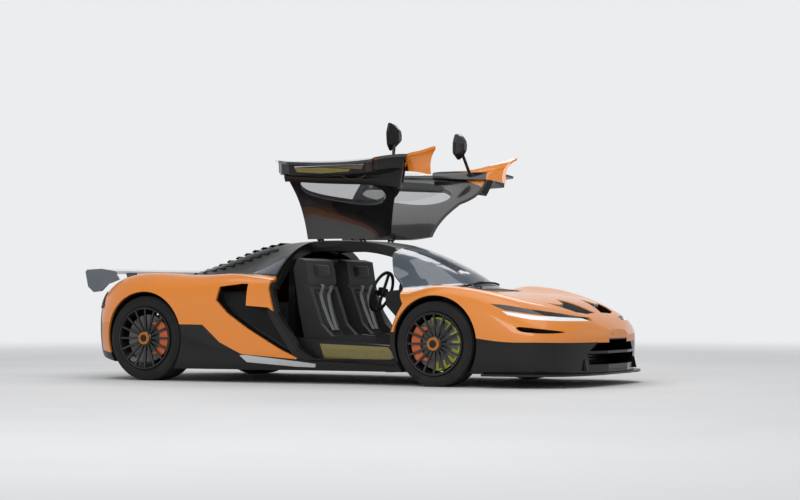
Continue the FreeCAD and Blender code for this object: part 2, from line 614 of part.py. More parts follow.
def tub():
    """Floor, sills, rear bulkhead, dash bulkhead and the narrow box that holds the front axle."""
    thick = size("tub_wall")
    sill_side = [(tub_rear, floor_top), (tub_front, floor_top), (tub_front, at_z(300)), (tub_rear, at_z(380))]
    shape = slab(tub_rear, tub_front, -tub_half, tub_half, floor_top, floor_top + thick)
    for side in (-1, 1):
        y0, y1 = sorted((side * at_y(640), side * tub_half))
        shape = shape.fuse(prism(sill_side, y0, y1))
    bulk_front = tub_rear + 2.5 * thick
    back = [(tub_rear, floor_top), (bulk_front, floor_top), (bulk_front, at_z(1010)), (tub_rear, at_z(1010))]
    view = [(-at_y(260), at_z(820)), (at_y(260), at_z(820)), (at_y(210), at_z(960)), (-at_y(210), at_z(960))]
    bulkhead = prism(back, -at_y(480), at_y(480)).cut(front_view(view, tub_rear - 1, bulk_front + 1))
    tunnel = slab(tub_rear, tub_front, -at_y(60), at_y(60), floor_top, at_z(330))
    box_top = at_z(560)
    box = slab(tub_front - thick, box_front, -box_half, box_half, floor_top, box_top)
    hollow = slab(tub_front - thick - 1, box_front - thick, -box_half + thick, box_half - thick,
                  floor_top + thick, box_top - thick)
    dash = slab(tub_front - thick, tub_front, -tub_half, tub_half, floor_top, at_z(540))
    shape = shape.fuse([bulkhead, tunnel, box.fuse(dash).cut(hollow)])
    return sides_cut(shape, [front_arch]).cut(frame_shape)


feature("front_clamshell", front_clamshell())
lens = panel(1600, NOSE, SIDE, BELT, wall)
feature("headlamps", both(lens.common(headlamp_cut)))
feature("light_bars", Part.makeCompound([both(lens.cut(headlamp_cut).common(light_cut)), tail_bars()]))
feature("front_bumper", front_bumper())
feature("windows", windows())
frame_shape = roof_frame()
feature("roof_frame", frame_shape)
feature("rear_body", rear_body())
feature("side_skirts", both(side_skirt().fuse(side_duct())))
feature("sill_blades", sill_blades())
feature("engine_cover", engine_cover())
feature("rear_fascia", rear_fascia())
feature("underfloor", underfloor())
feature("tub", tub())


SHUT_LINE = DOOR[2:6]
SHUT_STEPS = 4


def swept(margin):
    """Round space about the hinge that the front shut line needs, where the swinging door may hold nothing."""
    side = patch(0.0, 400, 1000, LOW, TOP).toShape()
    places = drawn(SHUT_LINE)
    line = [(a + (c - a) * i / SHUT_STEPS, b + (d - b) * i / SHUT_STEPS)
            for (a, b), (c, d) in zip(places, places[1:]) for i in range(SHUT_STEPS)] + places[-1:]
    corners = [vec(line[0][0], hinge_y, hinge_z)]
    for x, z in line:
        near = Part.makeLine(vec(x, 0, z), vec(x, BIG, z)).distToShape(side)[1][0][0]
        corners.append(vec(x, hinge_y, hinge_z - math.hypot(near.y - hinge_y, hinge_z - z) - margin))
    corners.append(vec(line[-1][0], hinge_y, hinge_z))
    return closed(corners).revolve(vec(0, hinge_y, hinge_z), X_AXIS, 360)


def door_parts():
    """Closed left door: skin with its blade and hinge arms, deep inner tray, glass and mirror."""
    depth, lining = size("door_depth"), size("door_lining")
    clear = swept(size("shut_clearance"))
    skin_part = panel(-420, 960, LOW, BROW, wall).common(door_edge).cut([window_cut, front_arch, clear])
    outline = grown(door_outline, -(gap + size("frame_lip") + gap))
    room = prism(outline, hinge_y + 60.0, BIG).cut(slab(-BIG, BIG, 0, BIG, 0, at_z(215)))
    hollow = prism(grown(outline, -size("door_rim")), hinge_y, BIG).cut(slab(-BIG, BIG, 0, BIG, 0, at_z(215) + 30))
    past_lip = size("shut_clearance") + size("frame_lip")
    toe = slab(at_x(790) - past_lip - 2 * gap, BIG, 0, BIG, 0, at_z(330))
    block = panel(-420, 960, LOW, BELT, depth, wall).common(room).cut([front_arch, swept(past_lip), toe])
    beside_arch = arch(front_axle_x, front_axle_z, arch_front_radius + size("door_rim") / 2, at_y(500))
    void = panel(-420, 960, LOW, BELT, depth - lining + 1.0, wall - 1.0).common(hollow.cut(beside_arch))
    tray = block.cut(void.cut(swept(past_lip + size("door_rim"))))
    standoff, thick = size("blade_standoff"), size("blade_wall")
    blade_side = flow(drawn(BLADE), at_y(500), BIG)
    blade = panel(240, 1140, SHOULDER - 0.6, CREST + 0.4, thick, -standoff - thick).common(blade_side)
    root = panel(240, BLADE_ROOT, SHOULDER - 0.6, CREST + 0.4, standoff + 4.0, -standoff - 2.0)
    shell = skin_part.fuse([blade, root.common(blade_side)])
    pane = panel(-400, 950, BELT - 0.2, BROW, glass, 4.0).common(window_cut)
    lug = size("hinge_lug")
    arms = []
    for x in hinge_places:
        low = x - lug + 1.0
        arms.append(slab(low, low + 2 * lug - 2.0, hinge_y + gap, hinge_y + 60, hinge_z - 36, hinge_z + 4))
        arms.append(Part.makeCylinder(LUG_RADIUS, 2 * lug - 2.0, vec(low, hinge_y, hinge_z), X_AXIS))
        arms.append(Part.makeCylinder(size("hinge_pin_dia") / 2, 5 * lug, vec(x - 2.5 * lug, hinge_y, hinge_z), X_AXIS))
    shell = shell.fuse(arms).cut(tray)
    head = vec(at_x(size("mirror_x")), at_y(size("mirror_y")), at_z(size("mirror_z")))
    stalk = rod(vec(at_x(700), at_y(800), at_z(740)), head.add(vec(20, -60, -30)), size("stalk_dia") / 2)
    wires = []
    for dx, share in MIRROR_SECTIONS:
        ring = [head.add(vec(dx, y * share, z * share)) for y, z in MIRROR_FACE]
        wires.append(Part.makePolygon(ring + ring[:1]))
    mirror = stalk.fuse(Part.makeLoft(wires, True, False)).cut(shell)
    mirror = max(mirror.Solids, key=lambda solid: solid.Volume)
    return {"door_shell": shell, "door_inner": tray, "door_glass": pane, "door_mirror": mirror}


def opened(shape):
    turned = shape.copy()
    turned.rotate(vec(0, hinge_y, hinge_z), X_AXIS, size("door_open_angle"))
    return turned.transformed(FreeCAD.Matrix(), True)


def twin(left, name):
    """Right hand copy of a left hand piece."""
    item = doc.addObject("Part::Mirroring", name)
    item.Label = name
    item.Source = left
    item.Base = ORIGIN
    item.Normal = Y_AXIS
    return item


for name, shape in door_parts().items():
    twin(feature("left_" + name, opened(shape)), "right_" + name)


def sketch_on(body, plane, outline):
    """Closed outline on one of the body's own planes, each corner placed by two rules."""
    sketch = body.newObject("Sketcher::SketchObject", body.Name + "_outline")
    sketch.AttachmentSupport = [(item, "") for item in body.Origin.OriginFeatures if item.Role == plane]
    sketch.MapMode = "FlatFace"
    count = len(outline)
    corners = [vec(300 + 90 * math.cos(math.tau * i / count), 90 * math.sin(math.tau * i / count), 0)
               for i in range(count)]
    sketch.addGeometry([Part.LineSegment(a, b) for a, b in zip(corners, corners[1:] + corners[:1])])
    for i, rules in enumerate(outline):
        sketch.addConstraint(Sketcher.Constraint("Coincident", i, 2, (i + 1) % count, 1))
        for kind, rule, start in zip(("DistanceX", "DistanceY"), rules, corners[i]):
            index = sketch.addConstraint(Sketcher.Constraint(kind, -1, 1, i, 1, start))
            sketch.setExpression("Constraints[%d]" % index, rule)
    return sketch


def turned(body, name, outline):
    """Outline of radius and width turned about the wheel's axle."""
    sketch = sketch_on(body, "XY_Plane", outline)
    item = body.newObject("PartDesign::Revolution", name)
    item.Profile = sketch
    item.ReferenceAxis = (sketch, ["V_Axis"])
    item.Angle = 360.0
    return item


FRONT_X = "((Sizes.front_overhang + Sizes.wheelbase + Sizes.rear_overhang) / 2 - Sizes.front_overhang)"
AXLES = {
    "front": {"Base.x": FRONT_X, "Base.y": "Sizes.front_track / 2", "Base.z": "Sizes.tyre_front_dia / 2"},
    "rear": {"Base.x": "(%s - Sizes.wheelbase)" % FRONT_X, "Base.y": "Sizes.rear_track / 2",
             "Base.z": "Sizes.tyre_rear_dia / 2"},
}


def wheel_body(name, end):
    body = doc.addObject("PartDesign::Body", name)
    body.Label = name
    for field, rule in AXLES[end].items():
        body.setExpression("Placement." + field, rule)
    return body


def rules(end, text):
    """Fill in the axle's name in a rule written for either axle."""
    return text.replace("{wide}", "Sizes.tyre_%s_wide" % end).replace("{rim}", "Sizes.rim_%s_dia" % end) \
        .replace("{tyre}", "Sizes.tyre_%s_dia" % end).replace("{disc}", "Sizes.disc_%s_dia" % end)


BORE = "Sizes.axle_dia / 2 + Sizes.hub_clearance"
SPOKE_Y = "{wide} / 2 - Sizes.spoke_inset"
FACE_Y = "{wide} / 2 - Sizes.disc_inset"
HAT = "14"
TYRE = [("{rim} / 2", "{wide} / 2 - Sizes.bead_inset"), ("{tyre} / 2", "{wide} / 2 - Sizes.tread_inset"),
        ("{tyre} / 2", "-({wide} / 2 - Sizes.tread_inset)"), ("{rim} / 2", "-({wide} / 2 - Sizes.bead_inset)")]
HUB = [(BORE, FACE_Y + " + " + HAT), ("Sizes.hub_dia / 2", FACE_Y + " + " + HAT),
       ("Sizes.hub_dia / 2", SPOKE_Y), ("Sizes.hub_nut_dia / 2", SPOKE_Y + " + 8"),
       ("Sizes.hub_nut_dia / 2", SPOKE_Y + " + 18"), (BORE, SPOKE_Y + " + 18")]
SPOKE = [("Sizes.hub_dia / 2 - 8", SPOKE_Y + " - 26"), ("{rim} / 2 - Sizes.rim_wall - 4", SPOKE_Y + " - 12"),
         ("{rim} / 2 - Sizes.rim_wall - 4", SPOKE_Y + " + 6"), ("Sizes.hub_dia / 2 - 8", SPOKE_Y + " - 6")]
BARREL = [("{rim} / 2", "{wide} / 2 - 12"), ("{rim} / 2", "-({wide} / 2 - 12)"),
          ("{rim} / 2 - Sizes.rim_wall", "-({wide} / 2 - 12)"), ("{rim} / 2 - Sizes.rim_wall - 8", "-({wide} / 2 - 30)"),
          ("{rim} / 2 - Sizes.rim_wall - 8", "{wide} / 2 - 30"), ("{rim} / 2 - Sizes.rim_wall", "{wide} / 2 - 12")]
DISC = [(BORE, FACE_Y + " - Sizes.disc_wall"), ("{disc} / 2", FACE_Y + " - Sizes.disc_wall"), ("{disc} / 2", FACE_Y),
        ("Sizes.disc_hat_dia / 2", FACE_Y), ("Sizes.disc_hat_dia / 2 - 4", FACE_Y + " + " + HAT), (BORE, FACE_Y + " + " + HAT)]
SPOKES = 16


def filled(end, outline):
    return [(rules(end, a), rules(end, b)) for a, b in outline]


def rim_body(name, end):
    """Hub with its nut, a ring of slim spokes, and the barrel that they carry."""
    body = wheel_body(name, end)
    turned(body, name + "_hub", filled(end, HUB))
    spoke = body.newObject("PartDesign::Pad", name + "_spoke")
    spoke.Profile = sketch_on(body, "XY_Plane", filled(end, SPOKE))
    spoke.SideType = "Symmetric"
    spoke.setExpression("Length", "Sizes.spoke_wide")
    doc.recompute()
    ring = body.newObject("PartDesign::PolarPattern", name + "_spokes")
    ring.Originals = [spoke]
    ring.Axis = (spoke.Profile[0], ["V_Axis"])
    ring.Angle = 360.0
    ring.Occurrences = SPOKES
    body.Tip = ring
    doc.recompute()
    turned(body, name + "_barrel", filled(end, BARREL))
    return body


for end in ("front", "rear"):
    left = wheel_body(end + "_left_tyre", end)
    turned(left, end + "_tyre_section", filled(end, TYRE))
    twin(left, end + "_right_tyre")
    twin(rim_body(end + "_left_rim", end), end + "_right_rim")
    left = wheel_body(end + "_left_disc", end)
    turned(left, end + "_disc_section", filled(end, DISC))
    twin(left, end + "_right_disc")
doc.recompute()


WHEELS = [
    # name, axle x, wheel centre y, wheel centre z, end of the car, the caliper's side of the disc
    ("front_left", front_axle_x, front_wheel_y, front_axle_z, "front", -1),
    ("rear_left", rear_axle_x, rear_wheel_y, rear_axle_z, "rear", 1),
]


def caliper(disc_radius, face_y, side):
    """Block over the disc's edge on the side of negative or positive X."""
    reach, play = size("caliper_wall"), size("door_gap")
    rear_y = face_y - size("disc_wall")
    outer = Part.makeCylinder(disc_radius + reach - 2, size("disc_wall") + 2 * (reach + play),
                              vec(0, rear_y - reach - play, 0), Y_AXIS)
    inner = Part.makeCylinder(disc_radius - 62, 2 * disc_radius, vec(0, -disc_radius, 0), Y_AXIS)
    groove = Part.makeCylinder(disc_radius + play, size("disc_wall") + 2 * play, vec(0, rear_y - play, 0), Y_AXIS)
    x0, x1 = sorted((0, side * BIG))
    block = outer.cut([inner, groove]).common(slab(x0, x1, -BIG, BIG, -130, 130))
    ribs = [slab(x0, x1, face_y + play + reach - 5, BIG, z - 8, z + 8) for z in (-70, 0, 70)]
    return block.cut(ribs)


def upright(outer_y, disc_radius, face_y, side):
    """Post with its ball pins, the stub axle and the bracket that carries the caliper."""
    reach = size("pin_reach")
    post = Part.makeCylinder(20.0, 2 * reach - 60, vec(0, 0, 30 - reach), Z_AXIS)
    axle = Part.makeCylinder(size("axle_dia") / 2, outer_y, ORIGIN, Y_AXIS)
    carrier = Part.makeCylinder(62.0, 14.0, vec(0, -7.0, 0), Y_AXIS)
    pins = Part.makeCylinder(size("pin_dia") / 2, 2 * reach + 40, vec(0, 0, -reach - 20), Z_AXIS)
    inner_x, middle_x = side * (disc_radius - 62), side * (disc_radius - 40)
    x0, x1 = sorted((side * 40, middle_x))
    x2, x3 = sorted((inner_x, middle_x))
    rear_y = face_y - size("disc_wall") - size("door_gap") - size("caliper_wall")
    return post.fuse([axle, carrier, pins, slab(x0, x1, -7, 7, -45, 45), slab(x2, x3, -7, rear_y + 1, -45, 45)])


def wishbones(ball, inner_y):
    """Upper and lower arm of one wheel, each a V of two rods that meets at the ball pin's eye."""
    arms = []
    for z in (-size("pin_reach"), size("pin_reach")):
        eye = ball.add(vec(0, 0, z))
        arm = Part.makeCylinder(20.0, 24.0, eye.sub(vec(0, 0, 12)), Z_AXIS)
        for reach in (-size("arm_spread"), size("arm_spread")):
            foot = vec(eye.x + reach, inner_y - 10, eye.z)
            arm = arm.fuse(rod(eye.sub(vec(0, 12, 0)), foot, size("arm_dia") / 2))
        pin = Part.makeCylinder(size("pin_dia") / 2 + size("hub_clearance"), 60.0, eye.sub(vec(0, 0, 30)), Z_AXIS)
        arms.append(arm.cut([pin, slab(-BIG, BIG, -BIG, inner_y, 0, BIG)]))
    return arms


suspension = []
for name, x, y, z, end, side in WHEELS:
    out = size("tyre_%s_wide" % end) / 2 - size("spoke_inset")
    face = size("tyre_%s_wide" % end) / 2 - size("disc_inset")
    radius = size("disc_%s_dia" % end) / 2
    knuckle = upright(out + 18.0, radius, face, side)
    brake = caliper(radius, face, side).cut(knuckle)
    for shape in (knuckle, brake):
        shape.translate(vec(x, y, z))
    suspension += wishbones(vec(x, y, z), box_half if end == "front" else gear_half)
    if end == "front":
        twin(feature("front_left_upright", knuckle), "front_right_upright")
        twin(feature("front_left_caliper", brake), "front_right_caliper")
    else:
        suspension.append(knuckle)
        feature("rear_calipers", both(brake))
feature("suspension", Part.makeCompound(suspension + [mirrored(shape) for shape in suspension]))


def box(name, **rules_by_field):
    item = doc.addObject("Part::Box", name)
    for field, rule in rules_by_field.items():
        item.setExpression(field.replace("_at_", "Placement.Base."), rule)
    return item


def fused(name, items):
    item = doc.addObject("Part::MultiFuse", name)
    item.Label = name
    item.Shapes = items
    return item


ENGINE_FRONT = "(%s - Sizes.wheelbase + 1062)" % FRONT_X
ENGINE_LOW = "Sizes.floor_height + Sizes.floor_wall"
fused("engine_block", [
    box("engine", Length="Sizes.engine_long", Width="Sizes.engine_wide", Height="Sizes.engine_high",
        _at_x=ENGINE_FRONT + " - Sizes.engine_long", _at_y="-Sizes.engine_wide / 2", _at_z=ENGINE_LOW),
    box("gearbox", Length="Sizes.gearbox_long", Width="Sizes.gearbox_wide", Height="Sizes.gearbox_high",
        _at_x=ENGINE_FRONT + " - Sizes.engine_long - Sizes.gearbox_long", _at_y="-Sizes.gearbox_wide / 2",
        _at_z=ENGINE_LOW + " + 60"),
])


def seats():
    """Two fixed shells with raised side bolsters, a cushion and a separate head part."""
    seat_floor = floor_top + size("tub_wall")
    shell = [(at_x(x), at_z(z)) for x, z in SEAT]
    shell[0] = (shell[0][0], seat_floor)
    shell[-1] = (shell[-1][0], seat_floor)
    low = size("seat_middle") - size("seat_wide") / 2
    high = low + size("seat_wide")
    bolster = size("seat_bolster")
    scoop = flow(drawn(SEAT_SCOOP), low + bolster, high - bolster)
    belts = flow(drawn(SEAT_NECK), low - 1, high + 1)
    return both(prism(shell, low, high).cut([scoop, belts]))


def dashboard():
    side = drawn([(560, 620), (548, 700), (590, 742), (790, 752), (790, 500), (660, 520)])
    front = tub_front - size("tub_wall")
    side = [(min(x, front), z) for x, z in side]
    shape = prism(side, -at_y(560), at_y(560))
    console = prism(drawn([(60, 330), (60, 372), (330, 400), (600, 560), (680, 560), (680, 330)]), -at_y(60), at_y(60))
    cowl = rod(vec(at_x(600), size("column_y"), at_z(742)), vec(at_x(780), size("column_y"), at_z(742)), 95.0)
    shape = shape.fuse([console, cowl])
    return shape.fuse(steering_column())


tilt = math.radians(size("column_tilt"))
column_end = vec(at_x(size("column_x")), size("column_y"), size("column_z"))
column_run = vec(-math.cos(tilt), 0, math.sin(tilt))


def steering_column():
    reach = at_x(600) - column_end.x
    return rod(vec(at_x(600), column_end.y, column_end.z - reach * math.tan(tilt)), column_end, size("column_dia") / 2)


def steering_wheel():
    """Rim with a flat sided grip section, hub and three spokes, tilted with the column."""
    ring, grip = (size("wheel_dia") - size("wheel_grip")) / 2, size("wheel_grip") / 2
    corners = [vec(ring + grip * math.cos(a), 0, grip * math.sin(a)) for a in
               [math.tau * (i + 0.5) / 6 for i in range(6)]]
    shape = closed(corners).revolve(ORIGIN, Z_AXIS, 360)
    shape = shape.fuse(Part.makeCylinder(38.0, 40.0, vec(0, 0, -40), Z_AXIS))
    for angle in (90, 180, 270):
        spoke = slab(-16, 16, 20, ring, -20, -8)
        spoke.rotate(ORIGIN, Z_AXIS, angle)
        shape = shape.fuse(spoke)
    centre = column_end.add(column_run * (40.0 + size("hub_clearance")))
    shape.Placement = FreeCAD.Placement(centre, FreeCAD.Rotation(Z_AXIS, column_run))
    return shape.transformed(FreeCAD.Matrix(), True)


feature("seats", seats())
feature("dashboard", dashboard())
feature("steering_wheel", steering_wheel())


def rear_wing():
    """Aerofoil bowed back at the middle, with turned down tips on two posts."""
    half = size("wing_wide") / 2
    wires = []
    for y, back, drop in WING_SECTIONS:
        ring = [vec(at_x(x + back), y * half, at_z(z - drop)) for x, z in WING]
        wires.append(Part.makePolygon(ring + ring[:1]))
    blade = Part.makeLoft(wires, True, False)
    pieces = []
    back, drop = WING_SECTIONS[0][1], WING_SECTIONS[0][2]
    tip = drawn([(x + back, z - drop) for x, z in WING_TIP])
    for side in (-1, 1):
        y0, y1 = sorted((side * half, side * (half - size("wing_tip_wall"))))
        pieces.append(prism(tip, y0, y1))
        y0 = side * size("wing_post_gap") / 2 - size("wing_post") / 2
        pieces.append(prism(drawn(WING_POST), y0, y0 + size("wing_post")))
    shape = blade.fuse(pieces).cut(core(TAIL_END, -1700, 0.0))
    return max(shape.Solids, key=lambda solid: solid.Volume)


feature("rear_wing", rear_wing())


pipes = []
for name, radius in (("outer", "Sizes.exhaust_dia / 2"), ("inner", "Sizes.exhaust_dia / 2 - Sizes.exhaust_wall")):
    pipe = doc.addObject("Part::Cylinder", "exhaust_" + name)
    pipe.Placement.Rotation = FreeCAD.Rotation(Y_AXIS, -90)
    pipe.setExpression("Radius", radius)
    pipe.setExpression("Height", "Sizes.exhaust_long")
    pipe.setExpression("Placement.Base.x", "%s - Sizes.wheelbase - Sizes.rear_overhang * 682.5 / 825" % FRONT_X)
    pipe.setExpression("Placement.Base.y", "Sizes.exhaust_gap / 2")
    pipe.setExpression("Placement.Base.z", "Sizes.exhaust_z")
    pipes.append(pipe)
pipe = doc.addObject("Part::Cut", "exhaust_pipe")
pipe.Base, pipe.Tool = pipes
exhausts = doc.addObject("Part::Compound", "exhausts")
exhausts.Links = [pipe, twin(pipe, "exhaust_twin")]
doc.recompute()

NODES = """front_clamshell headlamps light_bars front_bumper windows roof_frame rear_body side_skirts sill_blades engine_cover rear_fascia underfloor tub rear_calipers suspension engine_block seats dashboard
steering_wheel rear_wing exhausts front_left_upright front_right_upright front_left_caliper
front_right_caliper""".split()
NODES += ["%s_%s" % (side, piece) for side in ("left", "right")
          for piece in ("door_shell", "door_inner", "door_glass", "door_mirror")]
NODES += ["%s_%s_%s" % (end, side, piece) for end in ("front", "rear") for side in ("left", "right")
          for piece in ("tyre", "rim", "disc")]

for item in doc.Objects:
    if "Invalid" in item.State or "Error" in item.State:
        raise RuntimeError("%s did not compute: %s" % (item.Label, item.State))
parts = [doc.getObjectsByLabel(name)[0] for name in NODES]
for item in parts:
    if item.Shape.isNull() or not item.Shape.isValid():
        raise RuntimeError("%s has no valid shape" % item.Label)

os.makedirs("parts", exist_ok=True)
for item in parts:
    solids = item.Shape.Solids
    print(item.Label, "solids", len(solids), "faces", len(item.Shape.Faces), "litres", round(item.Shape.Volume / 1e6, 2))
    item.Shape.exportStep("parts/%s.step" % item.Label)
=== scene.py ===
# %% [markdown]
# # A two seat supercar with both roof hinged doors raised
# The real object is a low car with a smooth orange body, dark lower edges, slim spoked wheels and two doors
# that swing up from the roof. Its solids come from a CAD pack, and this lesson dresses them with paint,
# glass, rubber, cloth and the small parts that make a car look real.
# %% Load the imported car
from itertools import zip_longest
from math import ceil, cos, pi, radians, sin, sqrt, tau

import bmesh
import bpy
from mathutils import Matrix, Vector
from mathutils.bvhtree import BVHTree


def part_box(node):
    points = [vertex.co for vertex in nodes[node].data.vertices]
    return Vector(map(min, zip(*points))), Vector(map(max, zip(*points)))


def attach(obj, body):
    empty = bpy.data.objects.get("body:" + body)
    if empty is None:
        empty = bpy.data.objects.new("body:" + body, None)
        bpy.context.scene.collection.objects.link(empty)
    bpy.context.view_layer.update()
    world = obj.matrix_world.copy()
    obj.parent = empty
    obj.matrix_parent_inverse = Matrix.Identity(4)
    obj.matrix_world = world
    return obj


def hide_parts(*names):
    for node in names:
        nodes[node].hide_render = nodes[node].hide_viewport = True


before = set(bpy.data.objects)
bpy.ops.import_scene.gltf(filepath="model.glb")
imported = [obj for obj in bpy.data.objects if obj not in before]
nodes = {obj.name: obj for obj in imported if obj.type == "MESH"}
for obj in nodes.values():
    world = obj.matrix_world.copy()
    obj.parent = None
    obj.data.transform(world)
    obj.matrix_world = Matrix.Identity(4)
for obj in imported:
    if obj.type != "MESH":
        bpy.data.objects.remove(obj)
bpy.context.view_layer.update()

SIDES, ENDS = {"left": 1, "right": -1}, ("front", "rear")
WHEELS = [(end, s, "%s_%s_" % (end, side)) for end in ENDS for side, s in SIDES.items()]

# %% [markdown]
# The camera stands where the photographer stood: low, far off with a long lens, at the nose's right.
# Its place was found from the four wheels, so the render and the real car line up.
# %% Camera
FOCAL_PIXELS, PHOTO_WIDE, SENSOR = 2030.3, 800.0, 36.0
YAW, PITCH = 0.48838, 0.023277


def placed(name, data):
    """New object in the scene, at the origin."""
    obj = bpy.data.objects.new(name, data)
    bpy.context.scene.collection.objects.link(obj)
    return obj


cam = placed("camera", bpy.data.cameras.new("camera"))
cam.data.sensor_width = SENSOR
cam.data.lens = FOCAL_PIXELS * SENSOR / PHOTO_WIDE
cam.location = (8.27164, -14.84268, 0.68854)
looking = Vector((-sin(YAW) * cos(PITCH), cos(YAW) * cos(PITCH), sin(PITCH)))
cam.rotation_mode = "QUATERNION"
cam.rotation_quaternion = looking.to_track_quat("-Z", "Y")
bpy.context.scene.camera = cam
print("camera lens", round(cam.data.lens, 1), "mm")

# %% [markdown]
# Materials are built from nodes. A few words make them short: `add` puts a node in a tree, sets it up and
# feeds its inputs. The other words find the tree from the sockets that they are fed.
# %% Words for building nodes


def feed(node, values):
    """Gives a node its inputs: a socket is linked, a plain value is set."""
    for key, value in values.items():
        if isinstance(value, bpy.types.NodeSocket):
            node.id_data.links.new(value, node.inputs[key])
        else:
            node.inputs[key].default_value = value
    return node


def add(tree, kind, values={}, **settings):
    node = tree.nodes.new(kind)
    for key, value in settings.items():
        setattr(node, key, value)
    return feed(node, values)


def maths(operation, *values, clamp=False):
    """Math node, put in the tree of the first socket that feeds it."""
    tree = next(v.id_data for v in values if isinstance(v, bpy.types.NodeSocket))
    settings = {"operation": operation, "use_clamp": clamp}
    return add(tree, "ShaderNodeMath", dict(enumerate(values)), **settings).outputs[0]


def product(value, *others):
    for other in others:
        value = maths("MULTIPLY", value, other)
    return value


def ramp(value, low, high):
    """0 at low, 1 at high, smooth between."""
    values = {"Value": value, "From Min": low, "From Max": high}
    return add(value.id_data, "ShaderNodeMapRange", values, interpolation_type="SMOOTHSTEP").outputs["Result"]


def parts_of(vector):
    """X, Y and Z of a vector."""
    return add(vector.id_data, "ShaderNodeSeparateXYZ", {0: vector}).outputs


# %% [markdown]
# Four effects are shared: fine grain for paint, suede and metal; a twill weave for the dark composite; road
# dust low on the car; and soft mottling, so that large surfaces don't look printed. Each is a node group
# that turns a place, and its own numbers, into one value.
# %% Shared effects


def effect_group(name, numbers, make):
    group = bpy.data.node_groups.new(name, "ShaderNodeTree")
    group.interface.new_socket("Vector", in_out="INPUT", socket_type="NodeSocketVector")
    for label, value in numbers.items():
        group.interface.new_socket(label, in_out="INPUT", socket_type="NodeSocketFloat").default_value = value
    group.interface.new_socket("Value", in_out="OUTPUT", socket_type="NodeSocketFloat")
    value = make(add(group, "NodeGroupInput").outputs)
    add(group, "NodeGroupOutput", {"Value": value})
    return group


def noise(place, scale, detail):
    values = {"Vector": place, "Scale": scale, "Detail": detail}
    return add(place.id_data, "ShaderNodeTexNoise", values).outputs["Fac"]


def grain(given):
    return noise(given["Vector"], given["Scale"], 3.0)


def mottle(given):
    return ramp(noise(given["Vector"], given["Scale"], 2.0), 0.3, 0.7)


def weave(given):
    """Twill of small bundles that cross on a slant."""
    x, y, z = parts_of(given["Vector"])
    across = product(maths("ADD", x, y), given["Scale"])
    up = product(maths("SUBTRACT", z, y), given["Scale"])
    over = maths("SINE", maths("ADD", across, up))
    under = maths("SINE", maths("SUBTRACT", across, product(up, 3.0)))
    return maths("ADD", product(over, under, 0.5), 0.5, clamp=True)


def road_dust(given):
    """Strongest near the ground, broken up by noise."""
    height = maths("DIVIDE", parts_of(given["Vector"])["Z"], given["Top"])
    low = maths("SUBTRACT", 1.0, height, clamp=True)
    patchy = ramp(noise(given["Vector"], 9.0, 5.0), 0.35, 0.75)
    return product(low, patchy, given["Amount"])


EFFECT_NUMBERS = {grain: {"Scale": 900.0}, weave: {"Scale": 420.0}, mottle: {"Scale": 4.0},
                  road_dust: {"Top": 0.5, "Amount": 0.35}}
EFFECTS = {make.__name__: effect_group(make.__name__, numbers, make) for make, numbers in EFFECT_NUMBERS.items()}
print("shared effects:", sorted(EFFECTS))

# %% [markdown]
# A finish is a row of numbers: two colours, in thousandths, that an effect blends, how rough and metallic it
# is, its clear coat, how deep its bump goes, and how much dust it caught. Zeros at a row's end are left out.
# %% Finishes
DUST, DUST_ROUGH = (0.3, 0.25, 0.19), 0.5
COAT_ROUGH, BUMP_STRENGTH = 0.03, 0.6
FINISH_KEYS = ("effect", "scale", "rough", "rough_add", "metal", "coat", "bump", "dust")
FINISHES = {
    "orange_paint": (860, 265, 20, 780, 225, 14, "grain", 1500, 0.36, 0.06, 0.1, 0.6, 0, 0.03),
    "gloss_black": (5, 5, 6, 10, 10, 11, "weave", 420, 0.2, 0.05, 0, 0.2, 0, 0.01),
    "dark_weave": (6, 6, 7, 14, 14, 15, "weave", 420, 0.36, 0.1, 0, 0.1, 0.0003, 0.04),
    # Its olive yellow is painted reflection of yellow light on dark composite.
    "yellow_reflection_weave": (240, 185, 20, 120, 95, 12, "weave", 420, 0.22, 0.08, 0.1, 0.8, 0, 0.1),
    "satin_black": (8, 8, 9, 16, 16, 16, "grain", 1200, 0.48, 0.1, 0, 0, 0.0003, 0.03),
    "rubber": (9, 9, 9, 18, 18, 17, "grain", 500, 0.62, 0.15, 0, 0, 0.0004, 0.05),
    "rim_dark": (20, 20, 21, 40, 40, 42, "grain", 1800, 0.28, 0.08, 0.6, 0.3, 0, 0.05),
    "bronze": (550, 200, 45, 420, 150, 30, "grain", 1500, 0.26, 0.08, 0.9),
    "orange_caliper": (720, 130, 12, 600, 100, 10, "grain", 1100, 0.3, 0.06, 0, 0.7, 0.0002, 0.1),
    # Its lime is painted reflection of yellow light on the front discs.
    "lime_bracket": (420, 440, 30, 340, 350, 20, "grain", 900, 0.35, 0.08, 0, 0.4, 0, 0.1),
    "disc_grey": (120, 115, 110, 200, 190, 185, "grain", 300, 0.38, 0.12, 0.8, 0, 0.0003),
    "machined": (420, 420, 430, 330, 330, 340, "grain", 1500, 0.3, 0.1, 0.9, 0, 0.0002),
    "dark_steel": (100, 100, 105, 150, 145, 140, "grain", 700, 0.35, 0.12, 0.9, 0, 0.0002, 0.2),
    "silver": (600, 610, 620, 520, 530, 540, "grain", 1400, 0.28, 0.08, 0.6, 0.5, 0, 0.15),
    "wing_grey": (75, 92, 115, 100, 120, 145, "mottle", 5, 0.16, 0.05, 0.1, 1.0),
    "suede": (18, 18, 19, 40, 40, 42, "grain", 700, 0.8, 0.12, 0, 0, 0.0012),
    "soft_trim": (10, 10, 11, 20, 20, 21, "grain", 450, 0.52, 0.12, 0, 0, 0.0009),
    "brown_trim": (60, 36, 22, 90, 55, 34, "grain", 450, 0.5, 0.12, 0, 0, 0.0009),
    "webbing": (420, 430, 440, 300, 310, 320, "weave", 1800, 0.62, 0.12, 0, 0, 0.0004),
    # Its brown is painted sheen on the dark door lining.
    "door_brown": (85, 50, 30, 120, 75, 45, "weave", 420, 0.3, 0.08, 0, 0.5),
    "screen": (6, 7, 10, 12, 14, 20, "mottle", 20, 0.08, 0.02, 0, 0.6),
}


